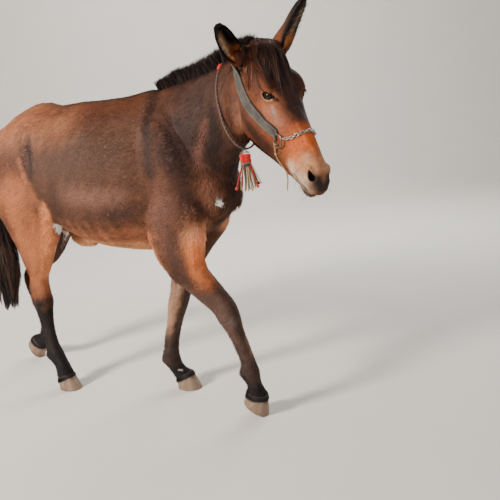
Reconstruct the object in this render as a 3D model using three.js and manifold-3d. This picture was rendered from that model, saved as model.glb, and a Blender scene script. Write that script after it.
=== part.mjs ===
// A walking mule, life size, wearing a webbing head collar and a neck cord with a tassel.
// Millimetres, +X where the mule walks, +Y its left side, +Z up, standing on the plane z = 0.
import * as THREE from 'three';
import { mergeVertices } from 'three/addons/utils/BufferGeometryUtils.js';
import Module from 'manifold-3d';

const wasm = await Module();
wasm.setup();

// Driving dimensions
const gap = 0.3;                    // clearance between touching nodes
const hoofLength = 120;             // sole, heel to toe
const hoofWidth = 94;
const hoofToeHeight = 76;           // coronet above the sole at the toe
const hoofHeelHeight = 44;
const hoofWallLean = 50;            // how far the toe wall leans back up to the coronet
const earLength = 204;
const earWidth = 70;
const earSkin = 4.5;                // thickness of the ear's wall
const eyeRadius = 19;
const strapWidth = 38;              // head collar webbing
const strapThickness = 3;
const ringRadius = 21;              // head collar ring, to the middle of its wire
const ringWire = 2.4;
const neckCordRadius = 4;

// The head's place: poll point and turns about X, Y and Z, in degrees
const poll = new THREE.Vector3(976, -149, 1478);
const headTurn = [-4.1, 43.8, -34.5];

// Fleshy forms. A row is one cross-section, given by its upper (or front) and lower (or back)
// profile points, the sideways place of both, its half width, and how square it is above and
// below (2 is an ellipse): [topX, topZ, bottomX, bottomZ, y, halfWidth, powerTop, powerBottom]
const trunkRows = [
  [-652, 1150, -655, 1040, 0, 30, 2, 2],
  [-628, 1212, -638, 960, 0, 98, 2, 2],
  [-562, 1272, -585, 890, 0, 148, 2.1, 2],
  [-462, 1322, -470, 850, 0, 182, 2.2, 2],
  [-345, 1368, -345, 830, 0, 200, 2.3, 2],
  [-255, 1384, -225, 800, 0, 205, 2.1, 2.1],
  [-160, 1366, -115, 757, 0, 205, 1.9, 2.2],
  [-35, 1366, 0, 722, 0, 213, 1.9, 2.2],
  [120, 1362, 140, 705, 0, 212, 1.9, 2.2],
  [262, 1366, 272, 700, 0, 192, 1.7, 2.1],
  [365, 1382, 385, 716, 0, 172, 1.6, 2],
  [440, 1366, 500, 752, 0, 160, 1.7, 2],
  [525, 1300, 600, 800, 0, 146, 1.8, 2],
  [605, 1200, 664, 862, 0, 122, 1.9, 2],
  [668, 1100, 702, 925, 0, 84, 2, 2],
  [702, 1040, 716, 975, 0, 30, 2, 2],
];
// The neck's rows give the crest and the under line with a y of their own, as it turns aside:
// [crestX, crestY, crestZ, underX, underY, underZ, halfWidth]
const neckRows = [
  [250, 0, 1330, 560, 0, 840, 60],
  [345, 0, 1366, 640, 0, 900, 118],
  [450, -2, 1384, 698, -4, 985, 116],
  [600, -26, 1408, 744, -32, 1058, 98],
  [740, -66, 1432, 792, -78, 1104, 84],
  [860, -112, 1462, 852, -126, 1144, 76],
  [938, -139, 1480, 902, -150, 1192, 70],
  [985, -158, 1450, 962, -172, 1268, 48],
];
// Legs: [frontX, frontZ, backX, backZ, y, halfWidth], down to the fetlock and pastern
const foreRightRows = [
  [590, 960, 350, 960, -112, 55],
  [612, 860, 335, 850, -122, 64],
  [612, 765, 350, 745, -130, 64],
  [600, 668, 412, 640, -134, 60],
  [652, 588, 512, 552, -128, 49],
  [706, 512, 604, 474, -122, 43],
  [722, 452, 634, 428, -119, 43],
  [729, 392, 661, 374, -114, 33],
  [746, 312, 682, 300, -105, 28],
  [758, 250, 693, 243, -98, 28],
  [766, 205, 678, 192, -92, 34],
  [764, 148, 702, 140, -86, 31],
];
const foreLeftRows = [
  [575, 960, 340, 960, 112, 55],
  [590, 860, 330, 850, 120, 64],
  [556, 762, 328, 735, 124, 64],
  [474, 672, 296, 640, 112, 58],
  [398, 575, 258, 556, 96, 48],
  [352, 486, 240, 470, 82, 43],
  [326, 420, 226, 412, 72, 43],
  [292, 340, 212, 334, 60, 34],
  [268, 262, 192, 258, 48, 29],
  [256, 205, 180, 200, 42, 29],
  [252, 156, 160, 138, 42, 35],
  [264, 106, 194, 88, 48, 32],
];
const hindRightRows = [
  [-235, 1180, -560, 1190, -95, 50],
  [-178, 1060, -606, 1080, -112, 88],
  [-146, 945, -594, 970, -124, 92],
  [-170, 845, -530, 865, -130, 78],
  [-222, 755, -474, 738, -131, 64],
  [-286, 655, -452, 634, -126, 50],
  [-342, 572, -446, 588, -120, 38],
  [-354, 505, -470, 518, -114, 39],
  [-352, 452, -470, 448, -112, 41],
  [-366, 398, -456, 394, -112, 33],
  [-376, 320, -446, 318, -113, 27],
  [-370, 240, -440, 236, -115, 28],
  [-350, 186, -440, 168, -117, 35],
  [-322, 134, -398, 114, -120, 32],
];
const hindLeftRows = [
  [-265, 1180, -570, 1190, 95, 50],
  [-236, 1060, -624, 1080, 110, 86],
  [-238, 940, -640, 965, 120, 90],
  [-292, 836, -640, 868, 125, 76],
  [-376, 742, -622, 786, 124, 64],
  [-484, 612, -612, 704, 114, 50],
  [-592, 536, -676, 602, 102, 38],
  [-636, 480, -748, 524, 98, 39],
  [-630, 430, -746, 440, 98, 41],
  [-648, 374, -736, 380, 102, 33],
  [-662, 300, -732, 300, 112, 27],
  [-668, 218, -736, 222, 124, 28],
  [-672, 150, -756, 176, 134, 35],
  [-732, 92, -784, 152, 142, 31],
];
// Head, in its own frame: x from the poll to the lips, z up out of the forehead:
// [x, topZ, bottomZ, halfWidth, pinch], where pinch narrows the lower half towards the jaw
const headRows = [
  [-34, -40, -92, 26, 1],
  [-8, -2, -150, 56, 1],
  [48, 22, -215, 82, 0.9],
  [115, 28, -266, 90, 0.84],
  [180, 17, -282, 88, 0.78],
  [250, 0, -268, 77, 0.74],
  [325, -16, -240, 60, 0.76],
  [400, -30, -212, 49, 0.82],
  [470, -44, -190, 42, 0.88],
  [522, -58, -177, 39, 0.9],
  [552, -78, -160, 34, 0.9],
  [568, -98, -136, 19, 1],
];
// Tail: [frontX, frontZ, backX, backZ, y, halfWidth]
const tailRows = [      // the dock and the dense core of its hair
  [-590, 1200, -600, 1246, 0, 22],
  [-650, 1160, -672, 1212, 0, 26],
  [-694, 1080, -742, 1110, 0, 30],
  [-702, 960, -772, 972, 0, 36],
  [-706, 850, -776, 850, 0, 33],
  [-722, 760, -766, 760, 0, 21],
  [-736, 706, -752, 706, 0, 7],
];
const tailHairRows = [  // outer bounds of the tail's hair, as [front, back, half, z]
  [-696, -744, 28, 1085],
  [-702, -772, 36, 960],
  [-698, -790, 44, 800],
  [-698, -802, 46, 640],
  [-710, -812, 42, 500],
  [-740, -822, 30, 400],
  [-782, -816, 12, 330],
];

const colours = {
  coat: 0x5f4132, mane: 0x2b2221, hoof: 0xa08a78, eye: 0x140d0a,
  webbing: 0x77706a, steel: 0xb4b4b2, cord: 0x2e2622, red: 0xc42a22, tan: 0xb99a72,
};
const finish = (colour, roughness, metalness = 0) =>
  new THREE.MeshStandardMaterial({ color: colour, roughness, metalness });
const coat = finish(colours.coat, 0.8);
const hair = finish(colours.mane, 0.75);
const horn = finish(colours.hoof, 0.6);
const cornea = finish(colours.eye, 0.12);
const webbing = finish(colours.webbing, 0.9);
const steel = finish(colours.steel, 0.35, 1);
const cordYarn = finish(colours.cord, 0.9);
const redYarn = finish(colours.red, 0.85);

const model = new THREE.Group();
const body = new THREE.Group();     // holds the animal where it was measured; moved at the end
model.add(body);

// Solids
function solidOf(geometry) {
  const bare = geometry.clone();
  bare.deleteAttribute('normal');
  bare.deleteAttribute('uv');
  const merged = mergeVertices(bare, 1e-3);
  return new wasm.Manifold(new wasm.Mesh({
    numProp: 3,
    vertProperties: new Float32Array(merged.attributes.position.array),
    triVerts: new Uint32Array(merged.index.array),
  }));
}

function geometryOf(solid) {
  const mesh = solid.getMesh();
  const geometry = new THREE.BufferGeometry();
  geometry.setAttribute('position', new THREE.BufferAttribute(new Float32Array(mesh.vertProperties), 3));
  geometry.setIndex(new THREE.BufferAttribute(new Uint32Array(mesh.triVerts), 1));
  geometry.computeVertexNormals();
  return geometry;
}

const bySize = (solid) => solid.decompose().sort((a, b) => b.volume() - a.volume());
const largest = (solid) => [0.1, 0.1, 0.05].reduce(
  (kept, shortest) => bySize(solidOf(geometryOf(calmed(kept, shortest))))[0], bySize(solid)[0]);
const joined = (solids) => solids.reduce((sum, next) => sum.add(next));

// Draws together the ends of edges shorter than a length, where the skin stays whole and unfolded
function calmed(solid, shortest) {
  const mesh = solid.getMesh();
  const at = Array.from({ length: mesh.vertProperties.length / 3 },
    (_, i) => new THREE.Vector3().fromArray(mesh.vertProperties, 3 * i));
  const faces = Array.from({ length: mesh.triVerts.length / 3 },
    (_, i) => Array.from(mesh.triVerts.slice(3 * i, 3 * i + 3)));
  const around = at.map(() => new Set());
  faces.forEach((face, f) => face.forEach((v) => around[v].add(f)));
  const normal = (face, moved, place) => {
    const [a, b, c] = face.map((v) => (v === moved ? place : at[v]));
    return b.clone().sub(a).cross(c.clone().sub(a));
  };
  const neighbours = (v) => new Set([...around[v]].flatMap((f) => faces[f]).filter((w) => w !== v));
  const folds = (v, other, place) => [...around[v]].some((f) => {
    if (faces[f].includes(other)) return false;
    const [before, after] = [normal(faces[f]), normal(faces[f], v, place)];
    return before.lengthSq() > 1e-8 && after.dot(before) < 0.3 * after.length() * before.length();
  });
  let changed = true;
  for (let pass = 0; changed && pass < 8; pass += 1) {
    changed = false;
    const edges = [];
    faces.forEach((face) => face?.forEach((a, k) => {
      const b = face[(k + 1) % 3];
      if (a < b && at[a].distanceTo(at[b]) < shortest) edges.push([at[a].distanceTo(at[b]), a, b]);
    }));
    edges.sort((p, q) => p[0] - q[0]);
    for (const [, a, b] of edges) {
      const shared = [...around[a]].filter((f) => around[b].has(f));
      if (shared.length !== 2 || at[a].distanceTo(at[b]) >= shortest) continue;
      const near = neighbours(b);
      if ([...neighbours(a)].filter((v) => near.has(v)).length !== 2) continue;
      const middle = at[a].clone().add(at[b]).multiplyScalar(0.5);
      if (folds(a, b, middle) || folds(b, a, middle)) continue;
      at[a].copy(middle);
      for (const f of shared) {
        faces[f].forEach((v) => around[v].delete(f));
        faces[f] = null;
      }
      for (const f of around[b]) {
        faces[f] = faces[f].map((v) => (v === b ? a : v));
        around[a].add(f);
      }
      around[b].clear();
      changed = true;
    }
  }
  const used = new Map();
  const index = faces.filter(Boolean).flat().map((v) => {
    if (!used.has(v)) used.set(v, used.size);
    return used.get(v);
  });
  const places = [...used.keys()].flatMap((v) => at[v].toArray());
  return new wasm.Manifold(new wasm.Mesh({
    numProp: 3, vertProperties: new Float32Array(places), triVerts: new Uint32Array(index),
  }));
}

function addNode(name, shape, material) {
  const mesh = new THREE.Mesh(shape.isBufferGeometry ? shape : geometryOf(shape), material);
  mesh.name = name;
  body.add(mesh);
}

// A closed skin over rings of points; each end closes on its ring's middle
function skinRings(rings) {
  const sides = rings[0].length;
  const places = rings.flat().flatMap((p) => [p.x, p.y, p.z]);
  const faces = [];
  for (let i = 0; i + 1 < rings.length; i += 1) {
    for (let j = 0; j < sides; j += 1) {
      const a = i * sides + j;
      const b = i * sides + ((j + 1) % sides);
      faces.push(a, b, a + sides, b, b + sides, a + sides);
    }
  }
  for (const last of [false, true]) {
    const ring = last ? rings[rings.length - 1] : rings[0];
    const start = last ? (rings.length - 1) * sides : 0;
    const middle = ring.reduce((sum, p) => sum.add(p), new THREE.Vector3()).divideScalar(sides);
    const centre = places.length / 3;
    places.push(middle.x, middle.y, middle.z);
    for (let j = 0; j < sides; j += 1) {
      const next = (j + 1) % sides;
      faces.push(centre, last ? start + j : start + next, last ? start + next : start + j);
    }
  }
  const geometry = new THREE.BufferGeometry();
  geometry.setAttribute('position', new THREE.Float32BufferAttribute(places, 3));
  geometry.setIndex(faces);
  return geometry;
}

// Turns a skin the right way out, whichever way its rings were wound
function closedSolid(geometry) {
  const index = Array.from(geometry.index.array);
  const at = geometry.attributes.position;
  const corner = [new THREE.Vector3(), new THREE.Vector3(), new THREE.Vector3()];
  let volume = 0;
  for (let i = 0; i < index.length; i += 3) {
    corner.forEach((p, k) => p.fromBufferAttribute(at, index[i + k]));
    volume += corner[0].dot(corner[1].clone().cross(corner[2]));
  }
  if (volume < 0) {
    for (let i = 0; i < index.length; i += 3) [index[i], index[i + 1]] = [index[i + 1], index[i]];
    geometry.setIndex(index);
  }
  return solidOf(geometry);
}

// Values between the rows of a table, smooth through each row
function between(rows, t) {
  const place = t * (rows.length - 1);
  const i = Math.min(Math.floor(place), rows.length - 2);
  const f = place - i;
  const row = (k) => rows[Math.max(0, Math.min(rows.length - 1, k))];
  return row(i).map((value, c) => {
    const [p, q, r, s] = [row(i - 1)[c], value, row(i + 1)[c], row(i + 2)[c]];
    return q + 0.5 * f * (r - p + f * (2 * p - 5 * q + 4 * r - s + f * (3 * (q - r) + s - p)));
  });
}

const bowed = (value, power) => Math.sign(value) * Math.abs(value) ** (2 / power);

// A ring between an upper and a lower point, square or round by its powers
function sectionRing(top, bottom, across, half, sides, powerTop = 2, powerBottom = 2, pinch = 1) {
  const middle = top.clone().add(bottom).multiplyScalar(0.5);
  const up = top.clone().sub(bottom).multiplyScalar(0.5);
  return Array.from({ length: sides }, (_, j) => {
    const angle = (2 * Math.PI * (j + 0.5)) / sides;
    const [c, s] = [Math.cos(angle), Math.sin(angle)];
    const power = s > 0 ? powerTop : powerBottom;
    const narrow = s > 0 ? 1 : 1 + (pinch - 1) * Math.abs(s) ** 1.3;
    return middle.clone()
      .addScaledVector(up, bowed(s, power))
      .addScaledVector(across, half * narrow * bowed(c, power));
  });
}

// Side-profile loft: rows of [topX, topZ, bottomX, bottomZ, y, half, powerTop, powerBottom]
function profileLoft(rows, ringCount, sides) {
  const across = new THREE.Vector3(0, 1, 0);
  const rings = Array.from({ length: ringCount + 1 }, (_, i) => {
    const [tx, tz, bx, bz, y, half, powerTop, powerBottom] = between(rows, i / ringCount);
    return sectionRing(new THREE.Vector3(tx, y, tz), new THREE.Vector3(bx, y, bz), across,
      half, sides, powerTop ?? 2.2, powerBottom ?? 2.2);
  });
  return closedSolid(skinRings(rings));
}

// Neck loft: its sections turn with the crest and under line
function neckLoft(rows, ringCount, sides) {
  const crestAt = (t) => new THREE.Vector3(...between(rows, t).slice(0, 3));
  const underAt = (t) => new THREE.Vector3(...between(rows, t).slice(3, 6));
  const rings = Array.from({ length: ringCount + 1 }, (_, i) => {
    const t = i / ringCount;
    const step = 0.02;
    const ahead = crestAt(Math.min(1, t + step)).add(underAt(Math.min(1, t + step)));
    const behind = crestAt(Math.max(0, t - step)).add(underAt(Math.max(0, t - step)));
    const along = ahead.sub(behind);
    const up = crestAt(t).sub(underAt(t));
    const across = up.clone().cross(along).normalize();
    return sectionRing(crestAt(t), underAt(t), across, between(rows, t)[6], sides, 1.75, 2);
  });
  return closedSolid(skinRings(rings));
}

// A bulge: a sphere drawn out to three radii, turned, and placed
function bulge(place, radii, turn = [0, 0, 0], detail = 12) {
  const sphere = new THREE.SphereGeometry(1, detail, Math.round(detail * 0.7));
  sphere.scale(...radii);
  sphere.rotateX(THREE.MathUtils.degToRad(turn[0]));
  sphere.rotateY(THREE.MathUtils.degToRad(turn[1]));
  sphere.rotateZ(THREE.MathUtils.degToRad(turn[2]));
  sphere.translate(...place);
  return solidOf(sphere);
}

// A flat block whose thin direction is along normal
function slab(centre, normal, width, thickness = gap, depth = width) {
  const box = new THREE.BoxGeometry(width, depth, thickness);
  const turn = new THREE.Quaternion().setFromUnitVectors(new THREE.Vector3(0, 0, 1),
    new THREE.Vector3(...normal).normalize());
  box.applyQuaternion(turn);
  box.translate(...centre);
  return solidOf(box);
}

// All space on the side of a plane that its normal points to
function spaceBeyond(centre, normal) {
  const reach = 3000;
  const away = new THREE.Vector3(...normal).normalize();
  const middle = new THREE.Vector3(...centre).addScaledVector(away, reach / 2);
  return slab(middle.toArray(), normal, reach, reach);
}

// The head's own frame
const headPlace = new THREE.Matrix4()
  .makeRotationZ(THREE.MathUtils.degToRad(headTurn[2]))
  .multiply(new THREE.Matrix4().makeRotationY(THREE.MathUtils.degToRad(headTurn[1])))
  .multiply(new THREE.Matrix4().makeRotationX(THREE.MathUtils.degToRad(headTurn[0])))
  .setPosition(poll);
const onHead = (x, y, z) => new THREE.Vector3(x, y, z).applyMatrix4(headPlace);
const headWay = (x, y, z) => new THREE.Vector3(x, y, z).transformDirection(headPlace);
const placeInHead = (point) => point.clone().applyMatrix4(headPlace.clone().invert());

// Moves a solid from the head's frame to the body's
function placedOnHead(solid) {
  const geometry = geometryOf(solid);
  geometry.applyMatrix4(headPlace);
  return solidOf(geometry);
}

// Head: skull, cheeks, brows, lids, nostrils, lips
function skullSolid() {
  const across = new THREE.Vector3(0, 1, 0);
  const ringCount = 22;
  const rings = Array.from({ length: ringCount + 1 }, (_, i) => {
    const [x, top, bottom, half, pinch] = between(headRows, i / ringCount);
    return sectionRing(new THREE.Vector3(x, 0, top), new THREE.Vector3(x, 0, bottom), across,
      half, 22, 2.5, 2.2, pinch);
  });
  return closedSolid(skinRings(rings));
}

const eyePlace = (side) => [221, side * 55, -29];
const eyeAxis = (side) => new THREE.Vector3(0.3, side * 0.93, 0.2).normalize();

// The lids: an almond ring on the front of the eye
function lidSolid(side) {
  const axis = eyeAxis(side);
  const long = new THREE.Vector3(0.93, 0, -0.36).projectOnPlane(axis).normalize();
  const tall = axis.clone().cross(long).normalize();
  const ring = new THREE.TorusGeometry(19, 5.5, 5, 12);
  ring.scale(1.12, 0.74, 1);
  ring.applyMatrix4(new THREE.Matrix4().makeBasis(long, tall, axis));
  ring.translate(...new THREE.Vector3(...eyePlace(side)).addScaledVector(axis, 9).toArray());
  return closedSolid(ring);
}

function headSolid() {
  let head = skullSolid();
  for (const side of [-1, 1]) {
    head = head
      .add(bulge([142, side * 44, -168], [104, 34, 100], [0, 0, 0], 10))
      .add(bulge([172, side * 58, -10], [60, 26, 22], [0, 4, side * -6], 10))
      .add(bulge([272, side * 57, -90], [88, 15, 16], [0, 8, side * -10], 8))
      .add(bulge([518, side * 27, -86], [30, 15, 20], [0, 24, side * -14], 10));
  }
  head = calmed(head
    .add(bulge([551, 0, -120], [25, 33, 32], [0, 0, 0], 10))
    .add(bulge([514, 0, -165], [38, 28, 20], [0, 8, 0], 10))
    .add(bulge([360, 0, -34], [130, 25, 18], [0, 8, 0], 8)), 13);
  for (const side of [-1, 1]) {
    head = head.add(lidSolid(side))
      .subtract(bulge(eyePlace(side), Array(3).fill(eyeRadius + gap), [0, 0, 0], 12))
      .subtract(bulge([530, side * 39, -86], [17, 10, 10], [0, 38, side * -20], 8));
  }
  // The line of the mouth runs round the muzzle and no deeper than the lips
  const line = new THREE.BoxGeometry(160, 160, 3);
  line.rotateY(THREE.MathUtils.degToRad(-4));
  line.translate(542, 0, -142);
  const mouth = solidOf(line).subtract(bulge([490, 0, -137], [74, 33, 58], [0, 0, 0], 14));
  return placedOnHead(largest(head.subtract(mouth)));
}

// Ear: a curled wall, open along its front, closing to a tube at its root
const ears = {
  right: { root: [22, -76, -40], way: [0.1, -0.68, 0.72], open: [0.82, 0.1, 0.5] },
  left: { root: [40, 68, -12], way: [-0.26, 0.2, 0.945], open: [0.95, 0.2, 0.22] },
};
const earShape = [   // share of the width, and how far round the wall curls, in degrees
  [0.56, 152], [0.8, 140], [0.96, 126], [1, 114], [0.95, 104], [0.85, 98], [0.66, 94], [0.32, 92],
];

function earFrame({ root, way, open }) {
  const along = new THREE.Vector3(...way).normalize();
  const front = new THREE.Vector3(...open).projectOnPlane(along).normalize();
  const across = along.clone().cross(front).normalize();
  return { base: new THREE.Vector3(...root), along, front, across };
}

function earSolid(ear) {
  const { base, along, front, across } = earFrame(ear);
  const [ringCount, wallSteps, sunk] = [11, 8, 26];
  const rings = Array.from({ length: ringCount + 1 }, (_, i) => {
    const s = i / ringCount;
    const [share, curl] = between(earShape, s);
    const half = 0.5 * earWidth * share;
    const centre = base.clone()
      .addScaledVector(along, -sunk + s * (earLength + sunk))
      .addScaledVector(front, 14 * s * s - 6);
    const wall = (inset, k) => {
      const a = THREE.MathUtils.degToRad(curl) * ((2 * k) / wallSteps - 1);
      const wide = Math.max(half - inset, 0.5);
      const deep = Math.max(0.72 * half - inset, 0.4);
      return centre.clone().addScaledVector(across, wide * Math.sin(a))
        .addScaledVector(front, -deep * Math.cos(a));
    };
    const skin = Math.min(earSkin, 0.45 * half);
    const steps = [...Array(wallSteps + 1).keys()];
    return [...steps.map((k) => wall(0, k)), ...steps.reverse().map((k) => wall(skin, k))];
  });
  // The wall's ends close as strips, because the section is a curl and not a disc
  const sides = rings[0].length;
  const places = rings.flat().flatMap((p) => [p.x, p.y, p.z]);
  const faces = [];
  for (let i = 0; i < ringCount; i += 1) {
    for (let j = 0; j < sides; j += 1) {
      const [a, b] = [i * sides + j, i * sides + ((j + 1) % sides)];
      faces.push(a, b, a + sides, b, b + sides, a + sides);
    }
  }
  for (const start of [0, ringCount * sides]) {
    for (let k = 0; k < wallSteps; k += 1) {
      const [a, b, c, d] = [start + k, start + k + 1, start + sides - 2 - k, start + sides - 1 - k];
      faces.push(...(start ? [a, b, c, a, c, d] : [a, c, b, a, d, c]));
    }
  }
  const geometry = new THREE.BufferGeometry();
  geometry.setAttribute('position', new THREE.Float32BufferAttribute(places, 3));
  geometry.setIndex(faces);
  return placedOnHead(closedSolid(geometry)).add(earBulb(ear, [44, 29, 22], -4));
}

// A solid bulb at the ear's root, its radii along the ear, across it and to its front
function earBulb(ear, radii, shift) {
  const { base, along, front, across } = earFrame(ear);
  const bulb = geometryOf(bulge([0, 0, 0], radii, [0, 0, 0], 8));
  bulb.applyMatrix4(new THREE.Matrix4().makeBasis(along, across, front));
  bulb.translate(...base.clone().addScaledVector(front, shift).toArray());
  return placedOnHead(solidOf(bulb));
}

// Hoof: a wall leaning out to the sole, in a frame whose x is the toe and z the coronet
function hoofSolid({ place, yaw, pitch }) {
  const ringCount = 3;
  const rings = Array.from({ length: ringCount + 1 }, (_, i) => {
    const h = (i / ringCount) * 1.25;
    return Array.from({ length: 20 }, (_, j) => {
      const a = (2 * Math.PI * j) / 20;
      const [c, s] = [Math.cos(a), Math.sin(a)];
      const reach = c > 0 ? 0.54 * hoofLength : 0.46 * hoofLength;
      const x = bowed(c, c > 0 ? 2 : 2.6) * reach * (1 - 0.26 * h);
      const height = h * (hoofHeelHeight + (hoofToeHeight - hoofHeelHeight) * (c + 1) / 2);
      return new THREE.Vector3(x - 0.42 * hoofWallLean * h, s * 0.5 * hoofWidth * (1 - 0.17 * h), height);
    });
  });
  const geometry = skinRings(rings);
  geometry.applyMatrix4(hoofMatrix({ place, yaw, pitch }));
  return closedSolid(geometry);
}

function hoofMatrix({ place, yaw, pitch }) {
  const turn = new THREE.Matrix4().makeRotationZ(THREE.MathUtils.degToRad(yaw))
    .multiply(new THREE.Matrix4().makeRotationY(THREE.MathUtils.degToRad(pitch)));
  // The toe's tip stays where the hoof is placed while the heel lifts
  const toe = new THREE.Vector3(0.54 * hoofLength, 0, 0);
  const shift = toe.clone().applyMatrix4(turn).negate();
  return turn.setPosition(shift.add(new THREE.Vector3(...place)));
}

// The coronet's plane, and its front and back edges, in the body's frame
function coronet(hoof) {
  const matrix = hoofMatrix(hoof);
  const point = (x, z) => new THREE.Vector3(x, 0, z).applyMatrix4(matrix);
  const way = (x, z) => new THREE.Vector3(x, 0, z).transformDirection(matrix);
  return {
    front: point(29, hoofToeHeight), back: point(-66, hoofHeelHeight),
    middle: point(-20, 60).toArray(), up: way(-0.33, 0.94), down: way(0.25, -1),
  };
}

const legs = {
  front_right: { rows: foreRightRows, hoof: { place: [772, -78, -3], yaw: -4, pitch: 33 },
    cut: [500, -134, 664], along: [-0.6, 0, 0.8], half: 39 },
  front_left: { rows: foreLeftRows, hoof: { place: [340, 56, 0], yaw: -3, pitch: 0 },
    cut: [388, 112, 664], along: [0.42, 0, 0.9], half: 39 },
  hind_right: { rows: hindRightRows, hoof: { place: [-266, -122, 0], yaw: -4, pitch: 0 },
    cut: [-350, -131, 742], along: [0.1, 0, 1], half: 37 },
  hind_left: { rows: hindLeftRows, hoof: { place: [-822, 146, -3], yaw: -6, pitch: 62 },
    cut: [-505, 124, 752], along: [0.5, 0, 0.86], half: 37 },
};

// A leg runs on from its rows to the coronet and a little way into the hoof
function legSolid({ rows, hoof, half }) {
  const { front, back, down } = coronet(hoof);
  const y = (front.y + back.y) / 2;
  const sunk = 12;
  const last = [[front.x, front.z, back.x, back.z, y, half],
    [front.x + down.x * sunk, front.z + down.z * sunk, back.x + down.x * sunk,
      back.z + down.z * sunk, y, half - 2]];
  return profileLoft([...rows, ...last], 24, 14);
}

// Everything of flesh is one solid first, then thin cuts part it
const neckCut = { centre: [560, -10, 1210], along: [0.843, -0.02, 0.538] };
const headCut = { centre: [863, -128, 1310], along: [0.9, -0.38, -0.12] };
const tailCut = { centre: [-668, 0, 1180], along: [-0.72, 0, -0.69] };

function fleshSolid() {
  const parts = [profileLoft(trunkRows, 26, 26), neckLoft(neckRows, 18, 20),
    profileLoft(tailRows, 14, 12)];
  for (const side of [-1, 1]) {
    parts.push(
      bulge([468, side * 90, 1090], [132, 74, 236], [side * 6, -26, 0], 10),
      bulge([628, side * 56, 944], [74, 54, 92], [0, -10, 0], 10),
      bulge([-392, side * 104, 1085], [218, 94, 226], [side * 4, 12, 0], 10));
  }
  parts.push(bulge([-170, 0, 752], [92, 40, 44], [0, 14, 0], 10));
  return calmed(joined(parts), 31);
}

const earRoots = {};
const earNodes = {};
for (const [side, ear] of Object.entries(ears)) {
  const { base, along } = earFrame(ear);
  const at = base.clone().addScaledVector(along, 30).applyMatrix4(headPlace).toArray();
  const way = along.clone().transformDirection(headPlace).toArray();
  const back = way.map((v) => -v);
  const step = (k) => at.map((v, i) => v + k * way[i]);
  const whole = earSolid(ear);
  earNodes[side] = largest(whole.intersect(spaceBeyond(step(gap / 2), way)));
  earRoots[side] = earBulb(ear, [84, 38, 31], -6).intersect(spaceBeyond(step(-gap / 2), back));
}

let flesh = fleshSolid().add(headSolid()).add(earRoots.right).add(earRoots.left);
for (const leg of Object.values(legs)) flesh = flesh.add(legSolid(leg));
for (const leg of Object.values(legs)) {
  const { middle, up } = coronet(leg.hoof);
  const above = middle.map((v, i) => v + (gap / 2) * up.toArray()[i]);
  const foot = slab(above.map((v, i) => v - 20 * up.toArray()[i]), up.toArray(), 150, 40);
  flesh = flesh.subtract(foot).subtract(slab(leg.cut, leg.along, 350, gap, 210));
}
flesh = flesh.subtract(slab(neckCut.centre, neckCut.along, 760))
  .subtract(slab(headCut.centre, headCut.along, 460))
  .subtract(slab(tailCut.centre, tailCut.along, 170));
const pieces = bySize(flesh).slice(0, 8).map((piece) => calmed(piece, 0.02));

// The piece whose box holds a point and lies nearest to it
function pieceAt(x, y, z) {
  const distance = (piece) => {
    const { min, max } = piece.boundingBox();
    return Math.hypot((min[0] + max[0]) / 2 - x, (min[1] + max[1]) / 2 - y, (min[2] + max[2]) / 2 - z);
  };
  return pieces.reduce((best, piece) => (distance(piece) < distance(best) ? piece : best));
}

// Places on the skin, found by rays shot inwards in the head's frame or the body's
const skinMesh = new THREE.Mesh(geometryOf(joined([pieceAt(770, -80, 1250), pieceAt(1100, -330, 1250)])));
function skinAt(from, way) {
  const hit = new THREE.Raycaster(from, way.clone().normalize()).intersectObject(skinMesh)[0];
  return hit.point;
}

// Points round the head: each row is [x, turn, axisZ] with the turn in degrees from the crown
function roundHead(rows, steps) {
  return Array.from({ length: steps + 1 }, (_, i) => {
    const [x, turn, z] = between(rows, i / steps);
    const angle = THREE.MathUtils.degToRad(turn);
    const out = new THREE.Vector3(0, Math.sin(angle), Math.cos(angle));
    return { from: onHead(x, 0, z).addScaledVector(headWay(...out.toArray()), 260), out: headWay(...out.toArray()) };
  });
}
const mirrored = (rows) => [...rows, ...rows.slice(0, -1).reverse().map(([x, turn, z]) => [x, -turn, z])];

// A flat band pressed on the skin; spare makes the bed that it lies in, open outwards
function bandSolid(places, width, thickness, spare = 0) {
  const rings = places.map(({ from, out }, i) => {
    const ahead = places[Math.min(i + 1, places.length - 1)].from;
    const behind = places[Math.max(i - 1, 0)].from;
    const side = ahead.clone().sub(behind).cross(out).normalize();
    const hits = [-0.5, 0, 0.5].map((k) => {
      const reach = k * width;
      return skinAt(from.clone().addScaledVector(side, reach), out.clone().negate())
        .addScaledVector(side, Math.sign(k) * spare);
    });
    const low = hits.map((p) => p.clone().addScaledVector(out, -1 - spare));
    const high = hits.map((p) => p.clone().addScaledVector(out, thickness + 30 * spare));
    return [...high, ...low.reverse()];
  });
  return closedSolid(skinRings(rings));
}

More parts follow.
